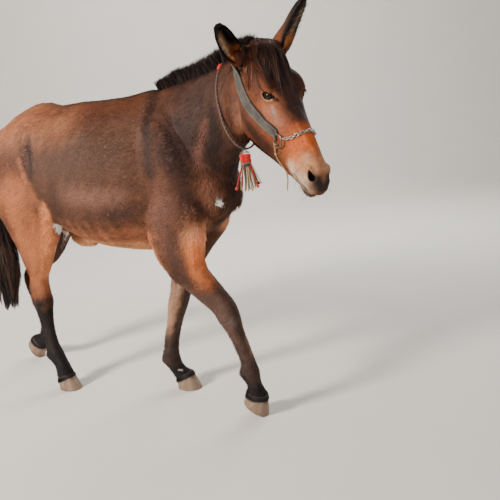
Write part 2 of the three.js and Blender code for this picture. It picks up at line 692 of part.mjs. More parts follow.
// A round cord through points, open ended or a loop
function tubeSolid(points, radius, sides, closed = false) {
  const count = points.length;
  const at = (i) => (closed ? points[(i + count) % count] : points[Math.max(0, Math.min(count - 1, i))]);
  let normal = new THREE.Vector3(0.3, 0.5, 0.8);
  const rings = points.map((p, i) => {
    const along = at(i + 1).clone().sub(at(i - 1)).normalize();
    normal = normal.clone().projectOnPlane(along).normalize();
    const other = along.clone().cross(normal);
    return Array.from({ length: sides }, (_, j) => {
      const a = (2 * Math.PI * j) / sides;
      return p.clone().addScaledVector(normal, radius * Math.cos(a)).addScaledVector(other, radius * Math.sin(a));
    });
  });
  if (!closed) return closedSolid(skinRings(rings));
  const places = rings.flat().flatMap((p) => [p.x, p.y, p.z]);
  const faces = [];
  for (let i = 0; i < count; i += 1) {
    for (let j = 0; j < sides; j += 1) {
      const next = (i + 1) % count;
      const [a, b] = [i * sides + j, i * sides + ((j + 1) % sides)];
      const [c, d] = [next * sides + j, next * sides + ((j + 1) % sides)];
      faces.push(a, b, c, b, d, c);
    }
  }
  const geometry = new THREE.BufferGeometry();
  geometry.setAttribute('position', new THREE.Float32BufferAttribute(places, 3));
  geometry.setIndex(faces);
  return closedSolid(geometry);
}

// Head collar: a webbing strap from ring to ring over the poll, a nose chain and a chin cord
const strapRows = mirrored([
  [324, -90, -98], [252, -90, -106], [166, -90, -108], [84, -88, -98],
  [16, -78, -94], [-16, -52, -102], [-27, -26, -106], [-29, 0, -106],
]);
const strapPlaces = roundHead(strapRows, 26);
const strap = bandSolid(strapPlaces, strapWidth, strapThickness);
const strapBed = bandSolid(strapPlaces, strapWidth, strapThickness, gap + 0.1);

function ringSolid(side) {
  const torus = new THREE.TorusGeometry(ringRadius, ringWire, 5, 16);
  const out = new THREE.Vector3(0.1, side, 0.06).normalize();
  torus.applyQuaternion(new THREE.Quaternion().setFromUnitVectors(new THREE.Vector3(0, 0, 1), out));
  const seat = skinAt(onHead(352, side * 200, -105), headWay(0, -side, 0));
  const geometry = torus.applyMatrix4(new THREE.Matrix4().extractRotation(headPlace));
  geometry.translate(...seat.addScaledVector(headWay(...out.toArray()), ringWire + 5).toArray());
  return solidOf(geometry);
}

// The bed of a cord: its own path and the same path further out
const cordBedSolid = (lines, radius, closed = false) =>
  joined(lines.map((line) => tubeSolid(line, radius + gap + 0.1, 6, closed)));

const onSkin = (places, lift) => places.map(({ from, out }) =>
  skinAt(from, out.clone().negate()).addScaledVector(out, lift));
const nosePlaces = roundHead(mirrored([[377, -88, -92], [386, -60, -92], [397, -25, -90], [400, 0, -90]]), 16);
const chinPlaces = roundHead([[352, -132, -112], [366, -146, -112], [396, -154, -112], [428, -166, -112],
  [438, -180, -112], [428, -194, -112], [396, -206, -112], [366, -214, -112], [352, -228, -112]], 16);
const noseLine = onSkin(nosePlaces, 4);
const chinLine = onSkin(chinPlaces, 2);
const noseBed = cordBedSolid([noseLine, onSkin(nosePlaces, 9)], 4.2);
const chinBed = cordBedSolid([chinLine, onSkin(chinPlaces, 5)], 2.6);
const noseChain = tubeSolid(noseLine, 4.2, 6);
const chinEnd = chinLine[8];
const chinCord = tubeSolid(chinLine, 2.6, 6).add(tubeSolid([0, 18, 36, 56].map((drop) =>
  chinEnd.clone().add(new THREE.Vector3(-drop * 0.1, drop * 0.04, -drop))), 2.2, 5));

// Neck cord: a loop round the throat, slack where its tassel hangs
const cordTop = new THREE.Vector3(782, -84, 1446);
const cordLow = new THREE.Vector3(852, -138, 1148);
const cordSlack = 22;
const cordUp = cordTop.clone().sub(cordLow).normalize();
const cordAcross = new THREE.Vector3(0.36, 0.93, 0).projectOnPlane(cordUp).normalize();
const cordMiddle = cordTop.clone().add(cordLow).multiplyScalar(0.5);
const cordLine = Array.from({ length: 32 }, (_, i) => {
  const a = (2 * Math.PI * i) / 32;
  const out = cordUp.clone().multiplyScalar(Math.cos(a)).addScaledVector(cordAcross, Math.sin(a));
  const slack = cordSlack * Math.max(0, -Math.cos(a)) ** 3;
  return skinAt(cordMiddle.clone().addScaledVector(out, 330), out.clone().negate())
    .addScaledVector(out, neckCordRadius * 0.6 + slack);
});
const neckCord = tubeSolid(cordLine, neckCordRadius, 5, true);
const cordBed = tubeSolid(cordLine, neckCordRadius + 6 * gap, 6, true);

function beadSolid(spare = 0) {
  const at = cordLine[31];
  const along = cordLine[0].clone().sub(cordLine[30]).normalize();
  const bead = new THREE.CylinderGeometry(9 + spare, 9 + spare, 20 + 2 * spare, 10);
  bead.applyQuaternion(new THREE.Quaternion().setFromUnitVectors(new THREE.Vector3(0, 1, 0), along));
  bead.translate(...at.toArray());
  return solidOf(bead);
}

// Tassel: clasp, red wrap, and strands that fan down to knots
const tasselTop = cordLine[16].clone().add(new THREE.Vector3(0, 0, -neckCordRadius - gap - 0.4));
const tasselFace = new THREE.Vector3(0.8, 0.6, 0);      // along its broad side
const [claspHeight, wrapHeight, wrapWidth, wrapDepth] = [14, 36, 44, 26];
const [strandLength, strandCount] = [96, 9];

function tasselBlock(drop, height, width, depth) {
  const box = new THREE.CylinderGeometry(0.5, 0.5, height, 12);
  box.rotateX(Math.PI / 2);
  box.scale(width, depth, 1);
  box.rotateZ(Math.atan2(tasselFace.y, tasselFace.x));
  box.translate(...tasselTop.clone().add(new THREE.Vector3(0, 0, -drop - height / 2)).toArray());
  return solidOf(box);
}

function strandsSolid() {
  const top = claspHeight + wrapHeight + 2 * gap;
  const out = new THREE.Vector3(-tasselFace.y, tasselFace.x, 0);
  const pieces = [tasselBlock(top, 8, wrapWidth - 6, wrapDepth - 6)];
  for (let i = 0; i < strandCount; i += 1) {
    const spread = (2 * i) / (strandCount - 1) - 1;
    const depth = i % 2 ? 0.5 : -0.5;
    const points = [0, 0.35, 0.7, 1].map((t) => tasselTop.clone()
      .addScaledVector(tasselFace, spread * (15 + 34 * t))
      .addScaledVector(out, depth * (6 + 14 * t))
      .add(new THREE.Vector3(0, 0, -top - 4 - t * strandLength * (1 - 0.12 * spread * spread))));
    pieces.push(tubeSolid(points, 3, 4));
    pieces.push(bulge(points[3].toArray(), [6.5, 6.5, 7], [0, 0, 30 * i], 4));
  }
  return largest(joined(pieces));
}

const claspNode = tasselBlock(0, claspHeight, 14, 9);

// Hair: flat locks that taper and bend, each a closed loft of four-sided rings
let state = 4021;
function random(low = 0, high = 1) {
  state = (state + 0x6d2b79f5) | 0;
  let t = Math.imul(state ^ (state >>> 15), 1 | state);
  t = (t + Math.imul(t ^ (t >>> 7), 61 | t)) ^ t;
  return low + (high - low) * (((t ^ (t >>> 14)) >>> 0) / 4294967296);
}

const lockTaper = (t, blunt) => Math.max(0.07, Math.min(1, 0.7 + 2 * t) * (1 - t ** blunt));
function lockSolid(points, width, thickness, face, blunt = 2.2) {
  const rings = points.map((p, i) => {
    const t = i / (points.length - 1);
    const along = points[Math.min(i + 1, points.length - 1)].clone().sub(points[Math.max(i - 1, 0)]).normalize();
    const side = face.clone().projectOnPlane(along).normalize();
    const out = along.clone().cross(side);
    const share = lockTaper(t, blunt);
    const [wide, thick] = [0.5 * width * share, Math.max(0.4, 0.5 * thickness * share)];
    return [[wide, 0], [0, thick], [-wide, 0], [0, -thick]].map(([u, v]) =>
      p.clone().addScaledVector(side, u).addScaledVector(out, v));
  });
  return closedSolid(skinRings(rings));
}

// Mane: upright locks in two rows along the crest over a low core, with a gap for the neck cord
const maneRows = [    // [x, y, z of the crest, height, half thickness]
  [462, -3, 1386, 30, 12], [520, -14, 1397, 44, 14], [600, -26, 1408, 51, 15], [700, -55, 1426, 55, 15],
  [790, -86, 1446, 57, 15], [850, -109, 1459, 56, 14], [892, -124, 1470, 48, 12],
];
const maneWay = new THREE.Vector3(0.96, -0.28, 0.2).normalize();
const maneSide = maneWay.clone().cross(new THREE.Vector3(0, 0, 1)).normalize();
const lockCount = 32;

function maneSolids() {
  const start = neckCut.centre.map((v, i) => v + gap * neckCut.along[i]);
  const end = headCut.centre.map((v, i) => v - 8 * headCut.along[i]);
  const back = headCut.along.map((v) => -v);
  const rings = Array.from({ length: 11 }, (_, i) => {
    const [x, y, z, height, half] = between(maneRows, i / 10);
    return sectionRing(new THREE.Vector3(x, y, z + 0.46 * height), new THREE.Vector3(x, y, z - 26),
      maneSide, half, 6, 1.7, 2);
  });
  const core = closedSolid(skinRings(rings)).subtract(slab(cordTop.toArray(), maneWay.toArray(), 160, 14));
  const locks = Array.from({ length: lockCount }, (_, i) => {
    const [x, y, z, height] = between(maneRows, (i + 0.6) / lockCount);
    const crest = new THREE.Vector3(x, y, z);
    const away = crest.clone().sub(cordTop).dot(maneWay);
    const sign = i % 2 ? 1 : -1;
    if (Math.abs(away) < 17) return null;
    const tall = height * random(0.94, 1.08);
    const lean = Math.abs(away) < 34 ? Math.sign(away) * random(0, 5) : random(-9, 12);
    const points = [[-24, 2, 0], [4, 8, 0.05], [0.45 * tall, 10, 0.3], [0.8 * tall, 9, 0.7], [tall, random(1, 9), 1]]
      .map(([up, out, k]) => crest.clone().addScaledVector(maneSide, sign * out)
        .addScaledVector(maneWay, lean * k).add(new THREE.Vector3(0, 0, up)));
    return lockSolid(points, Math.min(40, 2 * Math.abs(away) - 14), 12, maneWay, 5);
  });
  return calmed(joined([core, ...locks.filter(Boolean)]), 4)
    .intersect(spaceBeyond(start, neckCut.along)).intersect(spaceBeyond(end, back));
}

// Forelock: rises between the ears and falls over the forehead to above the eyes
const topOfHead = (x, y) => placeInHead(skinAt(onHead(x, y, 200), headWay(0, 0, -1))).z;
const forelockRows = [  // [x, y of the root, reach, sideways drift, width]
  [4, -40, 64, -20, 30], [2, -14, 90, -8, 36], [6, 18, 92, 20, 34], [22, -38, 130, -32, 28],
  [24, -22, 170, -34, 28], [26, -4, 176, -10, 30], [24, 14, 160, 16, 28], [34, -30, 150, -16, 24],
];
const forelockSolids = () => forelockRows.map(([x, y, reach, drift, width]) => {
  const lift = 30 + random(-4, 4);
  const points = [[0, -16], [0.02, 0.6 * lift], [0.2, lift], [0.5, 0.55 * lift], [0.8, 10], [1, 2]].map(([t, up]) => {
    const [px, py] = [x + reach * t, y + drift * t * t];
    return onHead(px, py, topOfHead(px, py) + up);
  });
  return lockSolid(points, width, 11, headWay(0, 1, 0));
});

// Tail: long locks from all round the dock's core to their own tips
const tailLockCount = 15;
const tailSolids = () => Array.from({ length: tailLockCount }, (_, i) => {
  const a = 2.39996 * i;
  const first = (i / tailLockCount) * 2.4;
  const last = random(4.4, 6);
  const ringAt = (k, share) => {
    const [front, back, half, z] = between(tailHairRows, k / (tailHairRows.length - 1));
    return new THREE.Vector3((front + back) / 2 + share * Math.cos(a) * (front - back) / 2,
      share * Math.sin(a) * half, z);
  };
  const points = [[0, 0.45], [0.12, 0.72], [0.34, 0.86], [0.6, 0.9], [0.82, 0.86], [1, random(0.5, 0.95)]]
    .map(([t, share]) => ringAt(first + (last - first) * t, share));
  return lockSolid(points, 36, 15, new THREE.Vector3(-Math.sin(a), Math.cos(a), 0));
});

addNode('torso', pieces[0], coat);
addNode('neck', largest(pieceAt(770, -80, 1250).add(maneSolids()).subtract(cordBed)
  .subtract(beadSolid(gap + 0.1))), coat);
addNode('head', largest(pieceAt(1100, -330, 1250).add(calmed(joined(forelockSolids()), 4)).subtract(strapBed).subtract(cordBed)
  .subtract(noseBed).subtract(chinBed)), coat);
addNode('tail', largest(calmed(joined([pieceAt(-730, 0, 950), ...tailSolids()]), 5)), hair);
addNode('leg_front_right', pieceAt(610, -110, 380), coat);
addNode('leg_front_left', pieceAt(300, 80, 380), coat);
addNode('leg_hind_right', pieceAt(-380, -115, 400), coat);
addNode('leg_hind_left', pieceAt(-650, 120, 400), coat);
for (const side of ['right', 'left']) addNode(`ear_${side}`, largest(earNodes[side].subtract(strapBed)), coat);
for (const [name, sign] of [['right', -1], ['left', 1]]) {
  addNode(`eye_${name}`, placedOnHead(bulge(eyePlace(sign), Array(3).fill(eyeRadius), [0, 0, 0], 12)), cornea);
}
for (const [name, leg] of Object.entries(legs)) {
  const { middle, up } = coronet(leg.hoof);
  const below = middle.map((v, i) => v - (gap / 2) * up.toArray()[i]);
  const hoof = hoofSolid(leg.hoof)
    .intersect(spaceBeyond(below, up.clone().negate().toArray()))
    .intersect(spaceBeyond([0, 0, 0], [0, 0, 1]));
  addNode(`hoof_${name}`, largest(hoof), horn);
}

addNode('halter_strap', strap, webbing);
for (const [name, sign] of [['right', -1], ['left', 1]]) addNode(`halter_ring_${name}`, ringSolid(sign), steel);
addNode('halter_nose_chain', noseChain, steel);
addNode('halter_chin_cord', chinCord, finish(colours.tan, 0.9));
addNode('neck_cord', neckCord, cordYarn);
addNode('neck_cord_bead', largest(beadSolid().subtract(cordBed)), redYarn);
addNode('tassel_clasp', claspNode, steel);
addNode('tassel_wrap', tasselBlock(claspHeight + gap, wrapHeight, wrapWidth, wrapDepth), redYarn);
addNode('tassel_strands', strandsSolid(), finish(colours.tan, 0.9));

// The whole stands with the middle of its box over the origin
const box = new THREE.Box3().setFromObject(body);
body.position.set(-(box.min.x + box.max.x) / 2, -(box.min.y + box.max.y) / 2, -box.min.z);
model.updateMatrixWorld(true);

export default model;
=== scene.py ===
import bmesh
import bpy
import numpy as np
from mathutils import Matrix, Vector
from mathutils.bvhtree import BVHTree


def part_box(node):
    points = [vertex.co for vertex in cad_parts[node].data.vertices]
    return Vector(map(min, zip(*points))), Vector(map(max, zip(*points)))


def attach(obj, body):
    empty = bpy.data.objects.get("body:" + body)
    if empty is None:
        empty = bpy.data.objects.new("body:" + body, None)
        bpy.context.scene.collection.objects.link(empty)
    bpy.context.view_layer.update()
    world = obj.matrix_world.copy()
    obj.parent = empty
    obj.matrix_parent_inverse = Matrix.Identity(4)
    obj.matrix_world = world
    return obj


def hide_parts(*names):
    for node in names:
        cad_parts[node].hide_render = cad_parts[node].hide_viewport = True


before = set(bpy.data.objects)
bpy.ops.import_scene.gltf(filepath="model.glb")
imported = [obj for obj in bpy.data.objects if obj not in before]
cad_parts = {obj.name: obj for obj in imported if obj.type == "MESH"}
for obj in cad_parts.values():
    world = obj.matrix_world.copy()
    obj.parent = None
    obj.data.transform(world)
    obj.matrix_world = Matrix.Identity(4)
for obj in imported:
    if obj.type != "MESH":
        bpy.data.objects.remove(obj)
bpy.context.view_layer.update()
chance = np.random.default_rng(4021)

# The mule was measured in a frame of its own, in millimetres: x forward, y to its left, z up.
# The head has one too: x from the poll to the lips, y left, z out of the forehead.
pose = {"poll": (976, -149, 1478), "headTurn": (-4.1, 43.8, -34.5), "rightEye": (221, -55, -29)}


def turned(x, y, z):
    # a rotation about x, then y, then z, in degrees
    cx, cy, cz = np.cos(np.radians((x, y, z)))
    sx, sy, sz = np.sin(np.radians((x, y, z)))
    aboutX = np.array([[1, 0, 0], [0, cx, -sx], [0, sx, cx]])
    aboutY = np.array([[cy, 0, sy], [0, 1, 0], [-sy, 0, cy]])
    aboutZ = np.array([[cz, -sz, 0], [sz, cz, 0], [0, 0, 1]])
    return aboutZ @ aboutY @ aboutX


headTurn = turned(*pose["headTurn"])
poll = np.array(pose["poll"], float)


def fromHead(points):
    return np.asarray(points, float) @ headTurn.T + poll


def toHead(points):
    return (np.asarray(points, float) - poll) @ headTurn


def headWay(way):
    return unit(np.asarray(way, float) @ headTurn.T)


def unit(vectors):
    vectors = np.asarray(vectors, float)
    return vectors / np.maximum(np.linalg.norm(vectors, axis=-1, keepdims=True), 1e-9)


low, high = (np.array(corner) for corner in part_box("eye_right"))
shift = (low + high) / 2 - fromHead(pose["rightEye"]) / 1000


def squareTo(axis, way):
    # a way without what it has of an axis
    way = np.asarray(way, float)
    return unit(way - axis * (way @ axis))


def placed(points):
    # from the measuring frame to the part's own, in metres
    return np.asarray(points, float) / 1000 + shift


def smooth(low, high, value):
    # 0 below low, 1 above high, with an s-shaped rise
    t = np.clip((value - low) / (high - low), 0, 1)
    return t * t * (3 - 2 * t)


def fall(low, high, value):
    # 1 below low, 0 above high
    return 1 - smooth(low, high, value)


def signed(value, power):
    # a power that keeps the value's sign
    return np.sign(value) * np.abs(value) ** power


def circle(count):
    # angles evenly round a circle
    return np.linspace(0, 2 * np.pi, count, endpoint=False)


def distance(points, spot, radii=1):
    return np.linalg.norm((points - spot) / radii, axis=1)


def runOf(path):
    # the length of a path up to each of its places
    return np.concatenate([[0], np.cumsum(np.linalg.norm(np.diff(path, axis=0), axis=1))])


def between(rows, t):
    # a smooth curve through the rows of a table, read at shares t of its length
    rows = np.asarray(rows, float)
    place = np.clip(np.asarray(t, float), 0, 1) * (len(rows) - 1)
    i = np.minimum(np.floor(place).astype(int), len(rows) - 2)
    f = (place - i)[..., None]
    p, q, r, s = (rows[np.clip(i + k, 0, len(rows) - 1)] for k in (-1, 0, 1, 2))
    return q + 0.5 * f * (r - p + f * (2 * p - 5 * q + 4 * r - s + f * (3 * (q - r) + s - p)))


def ripple(points, size, seed=0):
    # soft noise from -1 to 1: five turned sine waves, multiplied in pairs and added
    points = np.asarray(points, float) / size
    total = 0
    for k in range(5):
        a, b = (np.sin(seed * 1.7 + k * (2.1 + j) + np.arange(3) * (1.3 + j)) * 2.2 for j in (0, 1))
        total = total + np.sin(points @ a + seed + k) * np.sin(points @ b - seed + 2 * k)
    return total / 2.2


def gridFaces(rows, columns, loop=True):
    # quads between the rings of a grid; with loop the last column meets the first
    i, j = np.meshgrid(np.arange(rows - 1), np.arange(columns if loop else columns - 1), indexing="ij")
    after = (j + 1) % columns
    corners = [i * columns + j, i * columns + after, (i + 1) * columns + after, (i + 1) * columns + j]
    return np.stack(corners, -1).reshape(-1, 4)


def closedGrid(grid):
    # rings of points closed at both ends on their middles: all points, quads, end triangles
    rows, columns = grid.shape[:2]
    points = np.concatenate([grid.reshape(-1, 3), grid[0].mean(0)[None], grid[-1].mean(0)[None]])
    j = np.arange(columns)
    after = (j + 1) % columns
    start, finish = rows * columns, rows * columns + 1
    last = (rows - 1) * columns
    caps = np.concatenate([np.stack([np.full(columns, start), after, j], -1),
                           np.stack([np.full(columns, finish), last + j, last + after], -1)])
    return points, gridFaces(rows, columns), caps


def meshOf(name, points, *faceSets):
    # a mesh from arrays: points in the measuring frame, and faces of equal corner count in each set
    mesh = bpy.data.meshes.new(name)
    points = placed(points)
    faceSets = [faces for faces in faceSets if len(faces)]
    mesh.vertices.add(len(points))
    mesh.vertices.foreach_set("co", points.astype(np.float32).ravel())
    sizes = np.concatenate([np.full(len(faces), faces.shape[1]) for faces in faceSets])
    corners = np.concatenate([faces.ravel() for faces in faceSets])
    mesh.loops.add(len(corners))
    mesh.loops.foreach_set("vertex_index", corners.astype(np.int32))
    mesh.polygons.add(len(sizes))
    mesh.polygons.foreach_set("loop_start", (np.cumsum(sizes) - sizes).astype(np.int32))
    mesh.update(calc_edges=True)
    mesh.validate()
    mesh.polygons.foreach_set("use_smooth", np.ones(len(sizes), bool))
    return mesh


def outwards(points, *faceSets):
    # turns a closed shape's faces outwards, by the sign of its volume
    volume = 0
    for faces in faceSets:
        for k in range(1, faces.shape[1] - 1):
            a, b, c = points[faces[:, 0]], points[faces[:, k]], points[faces[:, k + 1]]
            volume += (a * np.cross(b, c)).sum()
    return faceSets if volume > 0 else tuple(faces[:, ::-1] for faces in faceSets)


def shell(grid, about=0):
    # a closed shape from rings of points, with its faces outwards
    points, quads, caps = closedGrid(grid)
    return (points, *outwards(points - about, quads, caps))


def hoop(path, middle, face, wire, sides):
    # a wire bent round: path + wire · (cos b · spoke + sin b · face); the last ring is the first
    b = circle(sides)[None, :, None]
    grid = path[:, None] + wire * (np.cos(b) * unit(path - middle)[:, None] + np.sin(b) * face)
    points = grid[:-1].reshape(-1, 3)
    return (points, *outwards(points - middle, gridFaces(len(path), sides) % len(points)))


def pieceOf(name, mesh, material, replaces=()):
    piece = bpy.data.objects.new(name, mesh)
    bpy.context.scene.collection.objects.link(piece)
    mesh.materials.append(material)
    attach(piece, "root")
    if replaces:
        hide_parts(*replaces)
    return piece


def several(shapes):
    # many shapes of points and faces as one list of points and one list for each face size
    points, quads, triangles, start = [], [], [], 0
    for shape in shapes:
        points.append(shape[0])
        for faces in shape[1:]:
            (quads if faces.shape[1] == 4 else triangles).append(faces + start)
        start += len(shape[0])
    gathered = [np.concatenate(points)]
    return gathered + [np.concatenate(faces) for faces in (quads, triangles) if faces]


def meshPoints(mesh):
    flat = np.empty(3 * len(mesh.vertices), np.float32)
    mesh.vertices.foreach_get("co", flat)
    return (flat.reshape(-1, 3).astype(float) - shift) * 1000


def meshCorners(mesh):
    mesh.calc_loop_triangles()
    flat = np.empty(3 * len(mesh.loop_triangles), np.int32)
    mesh.loop_triangles.foreach_get("vertices", flat)
    return flat.reshape(-1, 3)


def vertexNormals(points, triangles):
    # each point's normal: the sum of its triangles' normals by area
    a, b, c = (points[triangles[:, k]] for k in range(3))
    face = np.cross(b - a, c - a)
    total = np.zeros_like(points)
    for k in range(3):
        for axis in range(3):
            total[:, axis] += np.bincount(triangles[:, k], face[:, axis], len(points))
    return unit(total)


# Shader maths


class Link:
    # one output socket, with the operators of arithmetic
    def __init__(self, look, socket):
        self.look = look
        self.socket = socket

    def join(self, operation, *others):
        return self.look.node("ShaderNodeMath", {"operation": operation}, dict(enumerate((self,) + others)))

    def __add__(self, other):
        return self.join("ADD", other)

    __radd__ = __add__

    def __mul__(self, other):
        return self.join("MULTIPLY", other)

    __rmul__ = __mul__

    def __sub__(self, other):
        return self.join("SUBTRACT", other)

    def __rsub__(self, other):
        return (self * -1) + other

    def __truediv__(self, other):
        return self.join("DIVIDE", other)

    def __pow__(self, other):
        return self.join("POWER", other)

    def sine(self):
        return self.join("SINE")

    def step(self, low, high):
        # an s-shaped rise from 0 at low to 1 at high
        return self.look.node("ShaderNodeMapRange", {"interpolation_type": "SMOOTHSTEP"},
                              {"Value": self, "From Min": low, "From Max": high})


class Look:
    # a material and its nodes
    def __init__(self, name):
        self.material = bpy.data.materials.new(name)
        self.material.use_nodes = True
        self.tree = self.material.node_tree
        self.tree.nodes.clear()

    def node(self, kind, settings=None, inputs=None, output=0):
        made = self.tree.nodes.new(kind)
        settings = dict(settings or {})
        stops = settings.pop("stops", None)
        for key, value in settings.items():
            setattr(made, key, value)
        if stops:
            ramp = made.color_ramp.elements
            while len(ramp) < len(stops):
                ramp.new(0.5)
            for element, (place, colour) in zip(ramp, stops):
                element.position = place
                element.color = (*colour, 1)
        for key, value in (inputs or {}).items():
            socket = made.inputs[key]
            if isinstance(value, Link):
                self.tree.links.new(value.socket, socket)
            else:
                socket.default_value = value
        return None if output is None else Link(self, made.outputs[output])

    def place(self):
        return self.node("ShaderNodeTexCoord", output="Object")

    def noise(self, scale, detail=3, roughness=0.5, stretch=None, at=None, distortion=0):
        at = at or self.place()
        if stretch:
            at = self.node("ShaderNodeMapping", {}, {"Vector": at, "Scale": stretch})
        return self.node("ShaderNodeTexNoise", {}, {"Vector": at, "Scale": scale, "Detail": detail,
                                                    "Roughness": roughness, "Distortion": distortion})

    def tone(self, name):
        return self.node("ShaderNodeAttribute", {"attribute_name": name}, output="Color")

    def share(self, name):
        return self.node("ShaderNodeAttribute", {"attribute_name": name}, output="Fac")

    def mix(self, factor, first, second, blend="MIX"):
        made = self.tree.nodes.new("ShaderNodeMix")
        made.data_type = "RGBA"
        made.blend_type = blend
        for key, value in ((0, factor), (6, first), (7, second)):
            if isinstance(value, Link):
                self.tree.links.new(value.socket, made.inputs[key])
            else:
                made.inputs[key].default_value = value if key == 0 else (*value, 1)
        return Link(self, made.outputs[2])

    def scaled(self, colour, amount):
        # a colour made lighter or darker by a number
        return self.node("ShaderNodeVectorMath", {"operation": "SCALE"}, {0: colour, "Scale": amount})

    def bump(self, height, distance, strength=1.0):
        return self.node("ShaderNodeBump", {},
                         {"Height": height, "Distance": distance, "Strength": strength})

    def finish(self, **inputs):
        names = {key: key.replace("_", " ") for key in inputs}
        shader = self.node("ShaderNodeBsdfPrincipled", {},
                           {names[key]: value for key, value in inputs.items()},
                           output="BSDF")
        self.node("ShaderNodeOutputMaterial", {}, {"Surface": shader}, output=None)
        return self.material


def tint(red, green, blue):
    # a colour given as it shows on a screen, 0 to 255, as light
    return tuple(((v / 255 + 0.055) / 1.055) ** 2.4 if v > 10 else v / 255 / 12.92
                 for v in (red, green, blue))


def plain(shown, count):
    # the same colour for each of count places
    return np.tile(tint(*shown), (count, 1))


# Flesh: lofts and bulges, made one skin

# [topX, topZ, bottomX, bottomZ, y, half width, squareness above and below]
trunkRows = [
    [-652, 1150, -655, 1040, 0, 30, 2, 2], [-628, 1212, -638, 960, 0, 98, 2, 2],
    [-562, 1272, -585, 890, 0, 148, 2.1, 2], [-462, 1322, -470, 850, 0, 182, 2.2, 2],
    [-345, 1368, -345, 830, 0, 200, 2.3, 2], [-255, 1384, -225, 800, 0, 205, 2.1, 2.1],
    [-160, 1366, -115, 757, 0, 205, 1.9, 2.2], [-35, 1366, 0, 722, 0, 213, 1.9, 2.2],
    [120, 1362, 140, 705, 0, 212, 1.9, 2.2], [262, 1366, 272, 700, 0, 192, 1.7, 2.1],
    [365, 1382, 385, 716, 0, 172, 1.6, 2], [440, 1366, 500, 752, 0, 160, 1.7, 2],
    [525, 1300, 600, 800, 0, 146, 1.8, 2], [605, 1200, 664, 862, 0, 122, 1.9, 2],
    [668, 1100, 702, 925, 0, 84, 2, 2], [702, 1040, 716, 975, 0, 30, 2, 2],
]
# [crest x y z, under line x y z, half width]
neckRows = [
    [250, 0, 1330, 560, 0, 840, 60], [345, 0, 1366, 640, 0, 900, 118],
    [450, -2, 1384, 698, -4, 985, 116], [600, -26, 1408, 744, -32, 1058, 98],
    [740, -66, 1432, 792, -78, 1104, 84], [860, -112, 1462, 852, -126, 1144, 76],
    [938, -139, 1480, 902, -150, 1192, 70], [985, -158, 1450, 962, -172, 1268, 48],
]
# [frontX, frontZ, backX, backZ, y, half width], from the body down to inside the hoof
legRows = {
    "front_right": [
        [590, 960, 350, 960, -112, 55], [612, 860, 335, 850, -122, 64], [612, 765, 350, 745, -130, 64],
        [600, 668, 412, 640, -134, 60], [652, 588, 512, 552, -128, 49], [706, 512, 604, 474, -122, 43],
        [722, 452, 634, 428, -119, 43], [729, 392, 661, 374, -114, 33], [746, 312, 682, 300, -105, 28],
        [758, 250, 693, 243, -98, 28], [766, 205, 678, 192, -92, 34], [764, 148, 702, 140, -86, 31]],
    "front_left": [
        [575, 960, 340, 960, 112, 55], [590, 860, 330, 850, 120, 64], [556, 762, 328, 735, 124, 64],
        [474, 672, 296, 640, 112, 58], [398, 575, 258, 556, 96, 48], [352, 486, 240, 470, 82, 43],
        [326, 420, 226, 412, 72, 43], [292, 340, 212, 334, 60, 34], [268, 262, 192, 258, 48, 29],
        [256, 205, 180, 200, 42, 29], [252, 156, 160, 138, 42, 35], [264, 106, 194, 88, 48, 32]],
    "hind_right": [
        [-235, 1180, -560, 1190, -95, 50], [-178, 1060, -606, 1080, -112, 88],
        [-146, 945, -594, 970, -124, 92],
        [-170, 845, -530, 865, -130, 78], [-222, 755, -474, 738, -131, 64],
        [-286, 655, -452, 634, -126, 50],
        [-342, 572, -446, 588, -120, 38], [-354, 505, -470, 518, -114, 39],
        [-352, 452, -470, 448, -112, 41],
        [-366, 398, -456, 394, -112, 33], [-376, 320, -446, 318, -113, 27],
        [-370, 240, -440, 236, -115, 28],
        [-350, 186, -440, 168, -117, 35], [-322, 134, -398, 114, -120, 32]],
    "hind_left": [
        [-265, 1180, -570, 1190, 95, 50], [-236, 1060, -624, 1080, 110, 86],
        [-238, 940, -640, 965, 120, 90],
        [-292, 836, -640, 868, 125, 76], [-376, 742, -622, 786, 124, 64], [-484, 612, -612, 704, 114, 50],
        [-592, 536, -676, 602, 102, 38], [-636, 480, -748, 524, 98, 39], [-630, 430, -746, 440, 98, 41],
        [-648, 374, -736, 380, 102, 33], [-662, 300, -732, 300, 112, 27], [-668, 218, -736, 222, 124, 28],
        [-672, 150, -756, 176, 134, 35], [-732, 92, -784, 152, 142, 31]],
}
# [x, topZ, bottomZ, half width, narrowing towards the jaw], in the head's frame
headRows = [
    [-34, -40, -92, 26, 1], [-8, -2, -150, 56, 1], [48, 22, -215, 82, 0.9], [115, 28, -266, 90, 0.84],
    [180, 17, -282, 88, 0.78], [250, 0, -268, 77, 0.74], [325, -16, -240, 60, 0.76],
    [400, -30, -212, 49, 0.82],
    [470, -44, -190, 42, 0.88], [522, -58, -177, 39, 0.9], [552, -78, -160, 34, 0.9],
    [568, -98, -136, 19, 1],
]
dockRows = [
    [-590, 1200, -600, 1246, 0, 22], [-650, 1160, -672, 1212, 0, 26], [-694, 1080, -742, 1110, 0, 30],
    [-702, 960, -760, 968, 0, 30], [-706, 850, -756, 850, 0, 24], [-722, 760, -756, 760, 0, 15],
]
